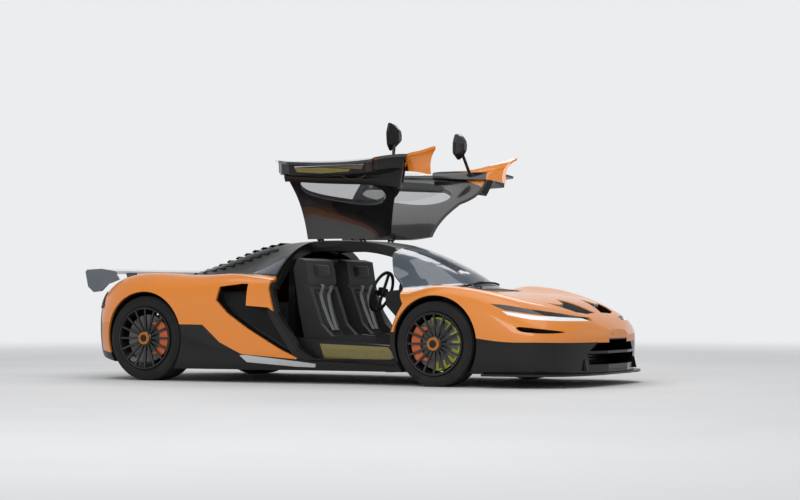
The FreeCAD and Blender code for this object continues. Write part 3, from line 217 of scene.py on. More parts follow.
def coordinates(tree):
    return add(tree, "ShaderNodeTexCoord").outputs["Object"]


def effect(tree, name, **numbers):
    """Value of a shared effect, placed in a material."""
    values = {"Vector": coordinates(tree), **numbers}
    return add(tree, "ShaderNodeGroup", values, node_tree=EFFECTS[name]).outputs["Value"]


def blended(factor, *colours):
    """Colour that goes from the first to the second; each is a socket or a plain colour."""
    a, b = [c + (1.0,) if isinstance(c, tuple) else c for c in colours]
    return add(factor.id_data, "ShaderNodeMix", {"Factor": factor, 6: a, 7: b}, data_type="RGBA").outputs[2]


def uneven(tree, rough, more):
    """Roughness that wanders softly from rough to rough + more."""
    return maths("ADD", product(effect(tree, "mottle", Scale=6.0), more), rough)


def coat(shader, colour, rough, weight):
    feed(shader, {"Base Color": colour, "Roughness": rough, "Coat Weight": weight, "Coat Roughness": COAT_ROUGH})


def own_node(tree, kind):
    """The node of this kind that a new material or world comes with."""
    return next(n for n in tree.nodes if n.bl_idname == kind)


def shader_of(material):
    return own_node(material.node_tree, "ShaderNodeBsdfPrincipled")


def new_material(name):
    material = bpy.data.materials.new(name)
    material.use_nodes = True
    return material, material.node_tree, shader_of(material)


def colours_of(name):
    """The two colours of a finish."""
    parts = tuple(part / 1000 for part in FINISHES[name][:6])
    return parts[:3], parts[3:]


def finish_material(name):
    row = dict(zip_longest(FINISH_KEYS, FINISHES[name][6:], fillvalue=0))
    material, tree, shader = new_material(name)
    detail = effect(tree, row["effect"], Scale=row["scale"])
    colour = blended(detail, *colours_of(name))
    rough = uneven(tree, row["rough"], row["rough_add"])
    if row["dust"]:
        dust = effect(tree, "road_dust", Amount=row["dust"])
        colour = blended(dust, colour, DUST)
        rough = maths("ADD", rough, product(dust, DUST_ROUGH), clamp=True)
    coat(shader, colour, rough, row["coat"])
    shader.inputs["Metallic"].default_value = row["metal"]
    if row["bump"]:
        bump = add(tree, "ShaderNodeBump", {"Strength": BUMP_STRENGTH, "Distance": row["bump"], "Height": detail})
        feed(shader, {"Normal": bump.outputs["Normal"]})
    return material


PAINTS = {name: finish_material(name) for name in FINISHES}
shader_of(PAINTS["suede"]).inputs["Sheen Weight"].default_value = 0.35
for name in ("gloss_black", "dark_weave", "satin_black", "rubber", "soft_trim", "suede"):
    shader_of(PAINTS[name]).inputs["Specular IOR Level"].default_value = 0.25
print("made", len(PAINTS), "finishes")

# %% [markdown]
# Glass is thin here, a tinted sheet that lets light through, so the shader mixes by Alpha in place of
# refracting. The lamp covers are made the same way, and a mirror is plain bright metal.
# %% Glass and mirrors
# The windows' blue grey is partly the glass's own tint and partly painted reflection of the sky.
GLASS = {"clear_glass": ((0.03, 0.036, 0.04), 0.3), "screen_glass": ((0.105, 0.14, 0.185), 0.6),
         "lamp_cover": ((0.02, 0.022, 0.025), 0.62)}
for name, (colour, alpha) in GLASS.items():
    PAINTS[name], tree, shader = new_material(name)
    tint = blended(effect(tree, "mottle", Scale=3.0), colour, tuple(0.8 * c for c in colour))
    feed(shader, {"Base Color": tint, "Roughness": 0.02, "Coat Weight": 1.0, "Coat Roughness": 0.01, "Alpha": alpha})
PAINTS["mirror_glass"], tree, shader = new_material("mirror_glass")
bright = blended(effect(tree, "mottle", Scale=5.0), (0.62, 0.66, 0.7), (0.56, 0.6, 0.64))
feed(shader, {"Base Color": bright, "Metallic": 1.0, "Roughness": 0.04})
print("glass:", list(GLASS))

# %% [markdown]
# Two solids carry two colours. The front panel is black inside its hood vents, where it lies under a curve
# that follows the hood. The lamps' light guides are white ahead and red behind, and glow softly.
# %% Two colour finishes
HOOD_START, HOOD_LEVEL = 1.9, 0.668
HOOD_FALL, HOOD_CURVE, HOOD_CROWN = 0.2525, 0.75, 0.1


def between(value, low, high):
    return product(maths("GREATER_THAN", value, low), maths("LESS_THAN", value, high))


def zoned(name, zone, outside, within, rough, coat_weight, glow=0.0):
    """Material of two colours, within where zone(x, |y|, z) gives 1."""
    material, tree, shader = new_material(name)
    x, y, z = parts_of(coordinates(tree))
    mask = zone(x, maths("ABSOLUTE", y), z)
    flake = effect(tree, "grain", Scale=1500)
    colour = blended(mask, *[blended(flake, c, tuple(0.86 * v for v in c)) for c in (outside, within)])
    coat(shader, colour, uneven(tree, rough, 0.06), coat_weight)
    if glow:
        feed(shader, {"Emission Color": colour, "Emission Strength": glow})
    return material


def in_hood_vents(x, y, z):
    ahead = maths("SUBTRACT", x, HOOD_START)
    level = z
    for term in ((ahead, HOOD_FALL), (ahead, ahead, HOOD_CURVE), (y, y, HOOD_CROWN)):
        level = maths("ADD", level, product(*term))
    limits = [between(x, 1.91, 2.17), between(y, -1.0, 0.51), between(z, 0.44, 0.7)]
    return product(maths("LESS_THAN", level, HOOD_LEVEL), *limits)


def in_tail(x, y, z):
    return maths("LESS_THAN", x, 0.0)


VENT_BLACK, LIT_WHITE, LIT_RED = (0.006, 0.006, 0.007), (0.8, 0.83, 0.87), (0.5, 0.012, 0.01)
PAINTS["front_paint"] = zoned("front_paint", in_hood_vents, colours_of("orange_paint")[0], VENT_BLACK, 0.36, 0.6)
PAINTS["bar_lamps"] = zoned("bar_lamps", in_tail, LIT_WHITE, LIT_RED, 0.15, 0.8, 0.25)
print("two colour finishes made")

# %% [markdown]
# Every CAD solid whose shape is right keeps its mesh and gets one of these finishes.
# %% Finishes on the solids
WEAR = {
    "front_paint": "front_clamshell", "orange_paint": "rear_body", "lamp_cover": "headlamps",
    "bar_lamps": "light_bars", "gloss_black": "front_bumper side_skirts SIDE_door_mirror",
    "dark_weave": "roof_frame underfloor tub rear_fascia engine_cover SIDE_door_inner",
    "screen_glass": "windows", "clear_glass": "SIDE_door_glass", "silver": "sill_blades",
    "dark_steel": "suspension exhausts front_SIDE_upright", "machined": "engine_block", "suede": "seats",
    "soft_trim": "dashboard steering_wheel", "wing_grey": "rear_wing",
    "orange_caliper": "rear_calipers front_SIDE_caliper", "rubber": "END_SIDE_tyre",
    "rim_dark": "END_SIDE_rim", "disc_grey": "END_SIDE_disc",
}


def wear(name, material):
    nodes[name].data.materials.clear()
    nodes[name].data.materials.append(material)


worn = {name.replace("SIDE", side).replace("END", end): finish for finish, names in WEAR.items()
        for name in names.split() for side in SIDES for end in ENDS}
for name, finish in worn.items():
    wear(name, PAINTS[finish])
print("finished", len(worn), "solids; the door skins come later")

# %% [markdown]
# The car stands on a plain pale floor under soft studio light: a wide lamp above, one on each side, and a
# pale world for the gloss to mirror. The floor isn't part of the car.
# %% Floor
FLOOR_HALF, FADE_NEAR, FADE_FAR, BACKDROP = 90.0, 4.5, 17.0, 0.86
PALE = (0.97, 0.985, 1.0, 1.0)
floor_mesh = bpy.data.meshes.new("studio_floor")
corners = [(x * FLOOR_HALF, y * FLOOR_HALF, 0) for x, y in ((-1, -1), (1, -1), (1, 1), (-1, 1))]
floor_mesh.from_pydata(corners, [], [(0, 1, 2, 3)])
floor = placed("studio_floor", floor_mesh)
material, tree, shader = new_material("studio_floor")
tone = blended(effect(tree, "mottle", Scale=0.6), (0.7, 0.7, 0.705), (0.73, 0.73, 0.735))
feed(shader, {"Base Color": tone, "Roughness": 0.75})
far_off = add(tree, "ShaderNodeVectorMath", {0: coordinates(tree)}, operation="LENGTH").outputs["Value"]
camera_ray = add(tree, "ShaderNodeLightPath").outputs["Is Camera Ray"]
fade = product(ramp(far_off, FADE_NEAR, FADE_FAR), camera_ray)
glow = add(tree, "ShaderNodeEmission", {"Color": PALE, "Strength": BACKDROP})
mixed = add(tree, "ShaderNodeMixShader", {0: fade, 1: shader.outputs[0], 2: glow.outputs[0]})
feed(own_node(tree, "ShaderNodeOutputMaterial"), {"Surface": mixed.outputs[0]})
floor_mesh.materials.append(material)
print("floor", 2 * FLOOR_HALF, "m wide")

# %% Light
LAMPS = {"overhead": ((0.5, -1.0, 6.5), (0, 0, 0.5), (9, 5), 190),
         "side_key": ((3.5, -9.0, 4.5), (0, 0, 0.5), (6, 3), 230),
         "far_side": ((-2.5, 6.5, 7.0), (0, 0, 0.6), (6, 3), 170)}
WORLD_LIGHT, WORLD_DIM = 0.52, 0.5
for name, (place, target, size, watts) in LAMPS.items():
    lamp = placed(name, bpy.data.lights.new(name, "AREA"))
    lamp.data.shape, lamp.data.size, lamp.data.size_y, lamp.data.energy = "RECTANGLE", *size, watts
    lamp.location = place
    lamp.rotation_euler = (Vector(target) - Vector(place)).to_track_quat("-Z", "Y").to_euler()

world = bpy.data.worlds.new("studio")
bpy.context.scene.world = world
world.use_nodes = True
tree = world.node_tree
rays = add(tree, "ShaderNodeLightPath").outputs
seen = rays["Is Camera Ray"]
for kind in ("Is Glossy Ray", "Is Transmission Ray"):
    seen = maths("MAXIMUM", seen, rays[kind])
height = parts_of(add(tree, "ShaderNodeTexCoord").outputs["Generated"])["Z"]
shown = maths("SUBTRACT", BACKDROP, product(ramp(height, 0.12, 0.75), WORLD_DIM))
more = product(seen, maths("SUBTRACT", shown, WORLD_LIGHT))
strength = maths("ADD", more, WORLD_LIGHT)
feed(own_node(tree, "ShaderNodeBackground"), {"Strength": strength, "Color": PALE})
bpy.context.scene.view_settings.view_transform = "Standard"
print("studio ready")

# %% [markdown]
# New pieces are plain meshes at the origin, with their place in their points. `hit` shoots a ray at the CAD
# solids, so that a piece lies on the real surface wherever that is.
# %% Words for building pieces
trees = {}
X, UP = Vector((1, 0, 0)), Vector((0, 0, 1))


def piece(name, points, faces, finish, body="body", smooth_angle=38):
    mesh = bpy.data.meshes.new(name)
    mesh.from_pydata([tuple(p) for p in points], [], faces)
    work = bmesh.new()
    work.from_mesh(mesh)
    bmesh.ops.remove_doubles(work, verts=work.verts, dist=1e-6)
    bmesh.ops.recalc_face_normals(work, faces=work.faces)
    work.to_mesh(mesh)
    work.free()
    mesh.shade_smooth()
    mesh.set_sharp_from_angle(angle=radians(smooth_angle))
    mesh.materials.append(PAINTS[finish])
    obj = placed(name, mesh)
    if body:
        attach(obj, body)
    return obj


def solid_tree(name):
    """Search tree of one CAD solid, built once."""
    if name not in trees:
        mesh = nodes[name].data
        polygons = [tuple(p.vertices) for p in mesh.polygons]
        trees[name] = BVHTree.FromPolygons([v.co.copy() for v in mesh.vertices], polygons)
    return trees[name]


def hit(names, start, direction, offset=0.0):
    """Where a ray first meets the named CAD solids, moved out by offset, and the surface's normal there."""
    best = None
    for name in names:
        place, normal, _, distance = solid_tree(name).ray_cast(Vector(start), Vector(direction).normalized())
        if place is not None and (best is None or distance < best[2]):
            if normal.dot(Vector(direction)) > 0:
                normal = -normal
            best = (place + normal * offset, normal, distance)
    return best


def hits(names, starts, direction, offset=0.0):
    """All that the rays from several starts meet."""
    return [found for found in (hit(names, start, direction, offset) for start in starts) if found]


def shooter(names, far, direction, lift=0.0):
    """Aims hit along one axis, from far on it; what it gives takes the other two coordinates."""
    axis = [bool(d) for d in direction].index(True)

    def shoot(*flat):
        return hit(names, flat[:axis] + (far,) + flat[axis:], direction, lift)

    return shoot


# %% [markdown]
# Few forms make the small parts: a ring turned about an axle, a tube or strap along a path, and a block. A
# skin between closed loops of points serves for all but the block.
# %% Rings, tubes and blocks


def loops(count, n, closed=False):
    """Faces between count loops of n points each. Open ends are capped."""
    faces = [(i * n + j, i * n + (j + 1) % n, (i + 1) % count * n + (j + 1) % n, (i + 1) % count * n + j)
             for i in range(count if closed else count - 1) for j in range(n)]
    return faces if closed else faces + [tuple(range(n)), tuple(range((count - 1) * n, count * n))[::-1]]


def circle(radius, sides):
    turns = [tau * i / sides for i in range(sides)]
    return [(radius * cos(a), radius * sin(a)) for a in turns]


def lathe(profile, centre, segments):
    """Closed profile of (radius, across) turned about an axle along Y."""
    x, y, z = centre
    points = [(x + r * a, y + w, z + r * b) for a, b in circle(1.0, segments) for r, w in profile]
    return points, loops(segments, len(profile), True)


def along(path, section, ups=None):
    """Section of (side, up) offsets carried along a path."""
    path = [Vector(p) for p in path]
    points, up = [], UP
    for i, p in enumerate(path):
        run = (path[min(i + 1, len(path) - 1)] - path[max(i - 1, 0)]).normalized()
        up = Vector(ups[i]) if ups else up
        side = run.cross(up)
        if side.length < 1e-6:
            side = run.cross(X)
        side.normalize()
        up = side.cross(run).normalized()
        points += [p + side * a + up * b for a, b in section]
    return points, loops(len(path), len(section))


def strap_section(width, thick):
    half = [(0.5, 0), (0.5, thick * 0.7), (0.44, thick)]
    return [(width * a, b) for a, b in half] + [(-width * a, b) for a, b in reversed(half)]


def block(low, high, bevel=0.15):
    """Box with its edges taken off, as points and faces."""
    work = bmesh.new()
    bmesh.ops.create_cube(work, size=1.0)
    size = [h - l for l, h in zip(low, high)]
    for v in work.verts:
        v.co = Vector([l + (c + 0.5) * s for l, c, s in zip(low, v.co, size)])
    bevel = {"offset": bevel * min(size), "segments": 2, "profile": 0.6, "affect": "EDGES"}
    bmesh.ops.bevel(work, geom=list(work.edges), **bevel)
    points = [v.co.copy() for v in work.verts]
    faces = [tuple(v.index for v in f.verts) for f in work.faces]
    work.free()
    return points, faces


def gathered(parts):
    """Several (points, faces) as one."""
    points, faces = [], []
    for p, f in parts:
        faces += [tuple(len(points) + i for i in face) for face in f]
        points += list(p)
    return points, faces


def turned_by(shape, matrix):
    return [matrix @ Vector(p) for p in shape[0]], shape[1]


def facing(place, axes):
    """Matrix that sets a shape's own axes along these, at a place."""
    return Matrix.Translation(place) @ Matrix(axes).transposed().to_4x4()


def smooth_path(corners, steps=6, closed=False):
    """Rounded path through the corners."""
    c = [Vector(p) for p in corners]
    n = len(c)
    out = []
    for i in range(n if closed else n - 1):
        a, b = c[i], c[(i + 1) % n]
        before = c[i - 1] if closed or i else a
        after = c[(i + 2) % n] if closed or i + 2 < n else b
        for k in range(steps):
            t = k / steps
            out.append(0.5 * ((2 * a) + (b - before) * t + (2 * before - 5 * a + 4 * b - after) * t * t
                              + (3 * a - before - 3 * b + after) * t ** 3))
    return out if closed else out + [c[-1]]


# %% [markdown]
# What repeats is made by two Geometry Nodes trees. `ring` sets a small template round an axle: tread blocks,
# nut lugs, drillings. `scatter` sets one on every point of a mesh, turned as the point's own attribute
# says: mesh cells and slats.
# %% Two trees for what repeats


def geometry_tree(name, inputs, put_on_points):
    """Tree that repeats the object Template, makes it real and gives it its Finish."""
    tree = bpy.data.node_groups.new(name, "GeometryNodeTree")
    for label, kind in {**inputs, "Template": "Object", "Finish": "Material"}.items():
        tree.interface.new_socket(label, in_out="INPUT", socket_type="NodeSocket" + kind)
    tree.interface.new_socket("Geometry", in_out="OUTPUT", socket_type="NodeSocketGeometry")
    given = add(tree, "NodeGroupInput").outputs
    shape = add(tree, "GeometryNodeObjectInfo", {"Object": given["Template"]}).outputs["Geometry"]
    real = add(tree, "GeometryNodeRealizeInstances", {0: put_on_points(tree, given, shape)})
    paint = add(tree, "GeometryNodeSetMaterial", {"Geometry": real.outputs[0], "Material": given["Finish"]})
    add(tree, "NodeGroupOutput", {0: paint.outputs[0]})
    return tree


def put(points, shape, turn):
    values = {"Points": points, "Instance": shape, "Rotation": turn}
    return add(points.id_data, "GeometryNodeInstanceOnPoints", values).outputs[0]


def round_an_axle(tree, given, shape):
    ring = add(tree, "GeometryNodeMeshCircle", {"Vertices": given["Count"], "Radius": given["Radius"]})
    index = add(tree, "GeometryNodeInputIndex").outputs[0]
    angle = maths("DIVIDE", product(index, tau), given["Count"])
    turn = add(tree, "ShaderNodeCombineXYZ", {"Z": angle}).outputs[0]
    upright = add(tree, "ShaderNodeCombineXYZ", {"X": -pi / 2}).outputs[0]
    values = {"Geometry": put(ring.outputs[0], shape, turn), "Rotation": upright, "Translation": given["Centre"]}
    return add(tree, "GeometryNodeTransform", values).outputs[0]


def on_every_point(tree, given, shape):
    turn = add(tree, "GeometryNodeInputNamedAttribute", {"Name": "turn"}, data_type="FLOAT_VECTOR")
    return put(given["Geometry"], shape, turn.outputs["Attribute"])


RING = geometry_tree("ring", {"Count": "Int", "Radius": "Float", "Centre": "Vector"}, round_an_axle)
SCATTER = geometry_tree("scatter", {"Geometry": "Geometry"}, on_every_point)
print("trees:", RING.name, SCATTER.name)

# %% [markdown]
# A tree runs on an object through a modifier. `grown` sets its inputs, keeps the result as a plain mesh
# and takes the modifier and the template away again.
# %% Words for what repeats


def grown(name, tree, shape, finish, body, mesh, **inputs):
    template = piece("template", *shape, "satin_black", None, 30)
    obj = placed(name, mesh)
    modifier = obj.modifiers.new("repeat", "NODES")
    modifier.node_group = tree
    labels = {s.name: s.identifier for s in tree.interface.items_tree if s.in_out == "INPUT"}
    for label, value in {"Template": template, "Finish": PAINTS[finish], **inputs}.items():
        modifier[labels[label]] = value
    view = bpy.context.evaluated_depsgraph_get()
    made = bpy.data.meshes.new_from_object(obj.evaluated_get(view), depsgraph=view)
    obj.modifiers.clear()
    obj.data = made
    made.name = name
    bpy.data.objects.remove(template)
    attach(obj, body)
    return obj


def ringed(name, shape, finish, body, count, radius, centre):
    """Shape set count times round an axle along Y."""
    grown(name, RING, shape, finish, body, bpy.data.meshes.new(name), Count=count, Radius=radius, Centre=tuple(centre))


def scattered(name, shape, finish, places, turns):
    """Shape set on every place of the fixed body, each with its turn."""
    mesh = bpy.data.meshes.new("points")
    mesh.from_pydata([tuple(p) for p in places], [], [])
    attribute = mesh.attributes.new("turn", "FLOAT_VECTOR", "POINT")
    for item, turn in zip(attribute.data, turns):
        item.vector = turn
    made = grown(name, SCATTER, shape, finish, "body", mesh)
    print(name, len(places), "times,", len(made.data.polygons), "faces")


# %% [markdown]
# A tyre is a turned ring: straight beads, a bulging wall, a rounded shoulder and a flat tread with four
# grooves. The blocks between the cross cuts repeat round it, so the ring tree sets them.
# %% Tyres
TREAD_DEEP, TREAD_INSET, BLOCK_SHARE = 0.006, 0.029, 0.84
BLOCKS_ROUND = {"front": 70, "rear": 74}
# Height up the wall as a share, and how far it lies inside the widest place.
WALL = [(0.1, 0.0125), (0.14, 0.007), (0.2, 0.0075), (0.45, 0.0045), (0.6, 0.006), (0.64, 0.0095), (0.8, 0.012),
        (0.92, 0.019)]
# Each row of blocks: from, to and slant, the first two as shares of the tread's width.
ROWS = [(-0.5, -0.34, 0.006), (-0.31, -0.13, 0.004), (-0.1, 0.1, 0.0), (0.13, 0.31, -0.004), (0.34, 0.5, -0.006)]


def node_middle(name):
    low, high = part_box(name)
    return (low + high) / 2, high - low


def tyre_profile(radius, wide, rim):
    """Section of the tyre: outer side and tread, inner side, then the inside."""
    half = wide / 2
    outer = [(rim + 0.001, half - 0.016)] + [(rim + share * (radius - rim), half - inset) for share, inset in WALL]
    outer.append((radius - TREAD_DEEP, half - 0.027))
    inside = [(rim + 0.012, half - 0.028), (radius - 0.02, half - 0.036)]
    mirrored = [(r, -w) for r, w in inside]
    return outer + [(r, -w) for r, w in reversed(outer)] + mirrored + inside[::-1]


def tread_block(row_low, row_high, length, slant):
    """One block, with its outward side along X and the axle along Z."""
    points = [(x - TREAD_DEEP, y + lean, z)
              for x, grow in ((-0.004, 0.0), (TREAD_DEEP * 0.8, 0.0), (TREAD_DEEP, -0.0012))
              for z, lean in ((row_low - grow, -slant), (row_high + grow, slant))
              for y in (-length / 2 - grow, length / 2 + grow)]
    faces = [(k + a, k + b, k + 4 + b, k + 4 + a) for k in (0, 4) for a, b in ((0, 1), (1, 3), (3, 2), (2, 0))]
    return points, faces + [(8, 9, 11, 10), (0, 2, 3, 1)]


for end, _, wheel in WHEELS:
    body = wheel + "wheel"
    middle, span = node_middle(wheel + "tyre")
    radius, wide, rim = span.z / 2, span.y, node_middle(wheel + "rim")[1].z / 2
    tyre = piece(wheel + "tyre_rubber", *lathe(tyre_profile(radius, wide, rim), middle, 96), "rubber", body, 30)
    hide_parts(wheel + "tyre")
    usable, count = wide - 2 * TREAD_INSET, BLOCKS_ROUND[end]
    length = tau * radius / count * BLOCK_SHARE
    blocks = gathered([tread_block(a * usable, b * usable, length, slant) for a, b, slant in ROWS])
    ringed(wheel + "tyre_tread", blocks, "rubber", body, count, radius, middle)
    print(wheel + "tyre", "radius", round(radius, 3), "width", round(wide, 3))

# %% [markdown]
# Each wheel has a bright nut ring with lugs round its middle, a dark cap, and a thin line on the rim's lip.
# The brake disc is drilled: rings of small bores, again by the ring tree. Each bore is a thin black disc on the
# disc's face, and its black is painted shade of the hole.
# %% Wheel middles and drilled discs
NUT = [(0.031, -0.01), (0.031, 0.0045), (0.05, 0.005), (0.0535, 0.001), (0.0535, -0.01)]
CAP = [(0.0005, -0.003), (0.0005, 0.0035), (0.018, 0.003), (0.028, 0.0005), (0.03, -0.003)]
LIP = [(-0.01, -0.003), (-0.01, 0.0012), (-0.005, 0.003), (-0.001, 0.0018), (-0.001, -0.003)]
LUG_RADIUS, LIP_INSET, DISC_INSET, BORE_ROWS = 0.041, 0.012, 0.072, (0.62, 0.72, 0.82, 0.92)
bore = lathe([(0.0002, -0.0006), (0.0042, -0.0006), (0.0042, 0.0006), (0.0002, 0.0006)], (0, 0, 0), 8)
bore = ([Vector((x, z, y)) for x, y, z in bore[0]], bore[1])

for _, s, wheel in WHEELS:
    body = wheel + "wheel"
    middle, span = node_middle(wheel + "rim")
    half_tyre = node_middle(wheel + "tyre")[1].y / 2

    def turned_ring(profile, radius, across, segments=48):
        return lathe([(radius + r, s * (across + w)) for r, w in profile], middle, segments)

    face = span.y / 2
    piece(wheel + "wheel_nut", *turned_ring(NUT, 0, face), "bronze", body, 25)
    lug = block((-0.004, -0.005, -0.003), (0.004, 0.005, 0.0065))
    outward = Vector((0, s, 0))
    ringed(wheel + "nut_lugs", lug, "bronze", body, 10, LUG_RADIUS, middle + outward * (face + 0.001))
    piece(wheel + "wheel_cap", *turned_ring(CAP, 0, face), "satin_black", body, 25)
    piece(wheel + "rim_lip", *turned_ring(LIP, span.z / 2, half_tyre - LIP_INSET, 96), "rim_dark", body, 25)
    disc = node_middle(wheel + "disc")[1].z / 2
    places = [(share * disc, 0.05 * k + 0.09 * j) for k, share in enumerate(BORE_ROWS) for j in (0, 1)]
    bores = [turned_by(bore, Matrix.Translation((r * cos(a) - disc, r * sin(a), 0))) for r, a in places]
    centre = middle + outward * (half_tyre - DISC_INSET + 0.0004)
    # Black discs: painted shade where the drilled holes are.
    ringed(wheel + "disc_bores", gathered(bores), "satin_black", body, 24, disc, centre)
print("wheels dressed")

# %% [markdown]
# A door swings about a line in the roof, so its parts are thought out with the door shut and then turned
# open with it. `opening_turn` turns a shut place; `shut_ray` shoots from the shut frame.
# %% Words for the doors
HINGE_Y, HINGE_Z, OPEN = 0.25, 1.168, radians(85)


def opening_turn(side):
    s = SIDES[side]
    hinge = Vector((0, s * HINGE_Y, HINGE_Z))
    return Matrix.Translation(hinge) @ Matrix.Rotation(s * OPEN, 4, "X") @ Matrix.Translation(-hinge)


def shut_ray(side, names, start, direction):
    """Ray in the shut frame against open door solids. The place comes back open, with its normal."""
    turn = opening_turn(side)
    return hit(names, turn @ Vector(start), turn.to_3x3() @ Vector(direction))


# %% [markdown]
# Each doorway is framed by a soft hollow seal, pushed on the edge of the body. It is a tube along the
# doorway's outline, laid on the frame by rays from the side and kept clear of the shut door.
# %% Doorway seals
DOORWAY = [(0.478, 1.075), (0.56, 0.975), (0.64, 0.868), (0.74, 0.79), (0.835, 0.708), (0.884, 0.642),
           (0.845, 0.57), (0.777, 0.4), (0.777, 0.3), (0.8, 0.215), (0.6, 0.185), (0.3, 0.19),
           (0.06, 0.2), (-0.045, 0.268), (-0.15, 0.42), (-0.256, 0.565), (-0.318, 0.76), (-0.318, 0.92),
           (-0.318, 1.06)]
SEAL_RADIUS, SEAL_DEPTH, SEAL_ROOM = 0.0035, 0.0015, 0.0085
SPINE_HALF, LONGEST_STEP = 0.28, 0.12
for side, s in SIDES.items():
    path = []
    starts = [(p.x, s * 1.4, p.z) for p in smooth_path([(x, 0, z) for x, z in DOORWAY], 5)]
    for place, _, _ in hits(["roof_frame", "tub", "side_skirts"], starts, (0, -s, 0), -SEAL_DEPTH):
        if abs(place.y) > SPINE_HALF and (not path or (place - path[-1]).length < LONGEST_STEP):
            path.append(place)
    for _ in range(2):
        path = [path[0]] + [(a + 2 * b + c) / 4 for a, b, c in zip(path, path[1:], path[2:])] + [path[-1]]
    turn, shell = opening_turn(side), solid_tree(side + "_door_shell")
    for i, place in enumerate(path):
        near, normal, _, away = shell.find_nearest(turn @ place)
        if away < SEAL_ROOM or (turn @ place - near).dot(normal) < 0:
            path[i] = turn.inverted() @ (near + normal * SEAL_ROOM)
    piece(side + "_doorway_seal", *along(path, circle(SEAL_RADIUS, 8)), "rubber")
    print(side, "seal", len(path), "points")

# %% [markdown]
# Air goes in and out through mesh: behind the nose's mouths, in the side intakes and across the tail. The
# scatter tree repeats one six sided cell on a grid of points inside each opening's outline.
# %% Mesh panels
NOSE_CELL, CELL = 0.015, 0.018
HEX_TURNS = [pi / 3 * i + pi / 6 for i in range(6)]


def inside(outline, a, b):
    """Whether a flat place lies in an outline."""
    within = False
    for (x0, y0), (x1, y1) in zip(outline, outline[1:] + outline[:1]):
        if (y0 > b) != (y1 > b) and a < (x1 - x0) * (b - y0) / (y1 - y0) + x0:
            within = not within
    return within


def hex_cell(size):
    """Open six sided cell, its hole along Z."""
    radii, thick = (size * 0.51, size * 0.37), size * 0.22
    points = [(r * cos(t), r * sin(t), z) for z in (-thick / 2, thick / 2) for r in radii for t in HEX_TURNS]
    faces = []
    for i, j in zip(range(6), (1, 2, 3, 4, 5, 0)):
        faces += [(i, j, 6 + j, 6 + i), (12 + i, 18 + i, 18 + j, 12 + j), (6 + i, 6 + j, 18 + j, 18 + i),
                  (i, 12 + i, 12 + j, j)]
    return points, faces


def hex_places(outline, size):
    """Middles of cells inside an outline."""
    pitch, step = size * sqrt(3) / 2, size * 0.75
    (low, high), (bottom, top) = [(min(v), max(v)) for v in zip(*outline)]
    places = [(low + pitch * (k + row % 2 / 2), bottom + step * row)
              for row in range(ceil((top - bottom) / step)) for k in range(ceil((high - low) / pitch))]
    return [place for place in places if inside(outline, *place)]


def flat_mesh(name, x, outline, size):
    """Mesh that stands across the car."""
    spots = hex_places(outline, size)
    turns = [(0, pi / 2, 0)] * len(spots)
    scattered(name, hex_cell(size), "satin_black", [(x, a, b) for a, b in spots], turns)


def on_surface(name, shape, finish, found, way="Y"):
    """Shape set wherever rays met a surface."""
    turns = [normal.to_track_quat("Z", way).to_euler() for _, normal, _ in found]
    scattered(name, shape, finish, [place for place, _, _ in found], turns)


UPPER_MOUTH = [(-0.44, 0.28), (0.44, 0.28), (0.325, 0.34), (0.228, 0.356), (-0.228, 0.356), (-0.325, 0.34)]
LOWER_MOUTH = [(-0.435, 0.178), (0.435, 0.178), (0.462, 0.25), (-0.462, 0.25)]
flat_mesh("upper_mouth_mesh", 2.06, UPPER_MOUTH, NOSE_CELL)
flat_mesh("lower_mouth_mesh", 2.06, LOWER_MOUTH, NOSE_CELL)

# %% Mesh in the side intakes
INTAKE = [(-0.545, 0.79), (-0.525, 0.79), (-0.525, 0.63), (-0.325, 0.615), (-0.2, 0.53), (0.03, 0.245),
          (-0.05, 0.225), (-0.2, 0.29), (-0.48, 0.45), (-0.67, 0.57), (-0.77, 0.668), (-0.755, 0.765)]
MESH_LIFT, SKIN_GAP = 0.012, 0.03
for side, s in SIDES.items():
    cells = []
    for a, b in hex_places(INTAKE, CELL):
        start, inward = (a, s * 1.3, b), (0, -s, 0)
        found, skin = hit(["side_skirts", "rear_body"], start, inward, MESH_LIFT), hit(["rear_body"], start, inward)
        if found and (skin is None or (skin[0] - found[0]).length > SKIN_GAP or skin[2] > found[2]):
            cells.append(found)
    on_surface(side + "_intake_mesh", hex_cell(CELL), "satin_black", cells)

# %% [markdown]
# A single wiper rests at the foot of the windscreen: a sprung arm and a rubber blade that follow the glass.
# %% Wiper
DOWN, BACK = (0, 0, -1), (-1, 0, 0)
BLADE = [(-0.003, 0), (0.003, 0), (0.0045, 0.01), (0.0035, 0.016), (-0.0035, 0.016), (-0.0045, 0.01)]
ARM = [(-0.007, -0.003), (0.007, -0.003), (0.005, 0.004), (-0.005, 0.004)]
starts = [(1.178 - 0.03 * (t / 6 - 1) ** 2, -0.42 + 0.06 * t, 2.0) for t in range(13)]
blade = [place for place, _, _ in hits(["windows"], starts, DOWN, 0.004)]
piece("wiper_blade", *along(blade, BLADE), "rubber")
middle = len(blade) // 2
bends = ((middle, (0, 0, 0.018)), (middle - 2, (0.03, 0, 0.024)), (2, (0.045, -0.02, 0.018)), (0, (0.095, 0.01, 0.012)))
arm = smooth_path([blade[i] + Vector(shift) for i, shift in bends])
piece("wiper_arm", *along(arm, ARM), "satin_black")
print("wiper points", len(blade))

# %% [markdown]
# Seat pads and trim panels are both plates that lie on a surface. A grid of rays finds the surface, and
# the plate's top rises from there as a rule says, so its edges can be thin and its middle full.
# %% Plates on a surface
FLOOR_GAP, EDGE_SHARES = 0.0008, (0.35, 0.9, 1.0)


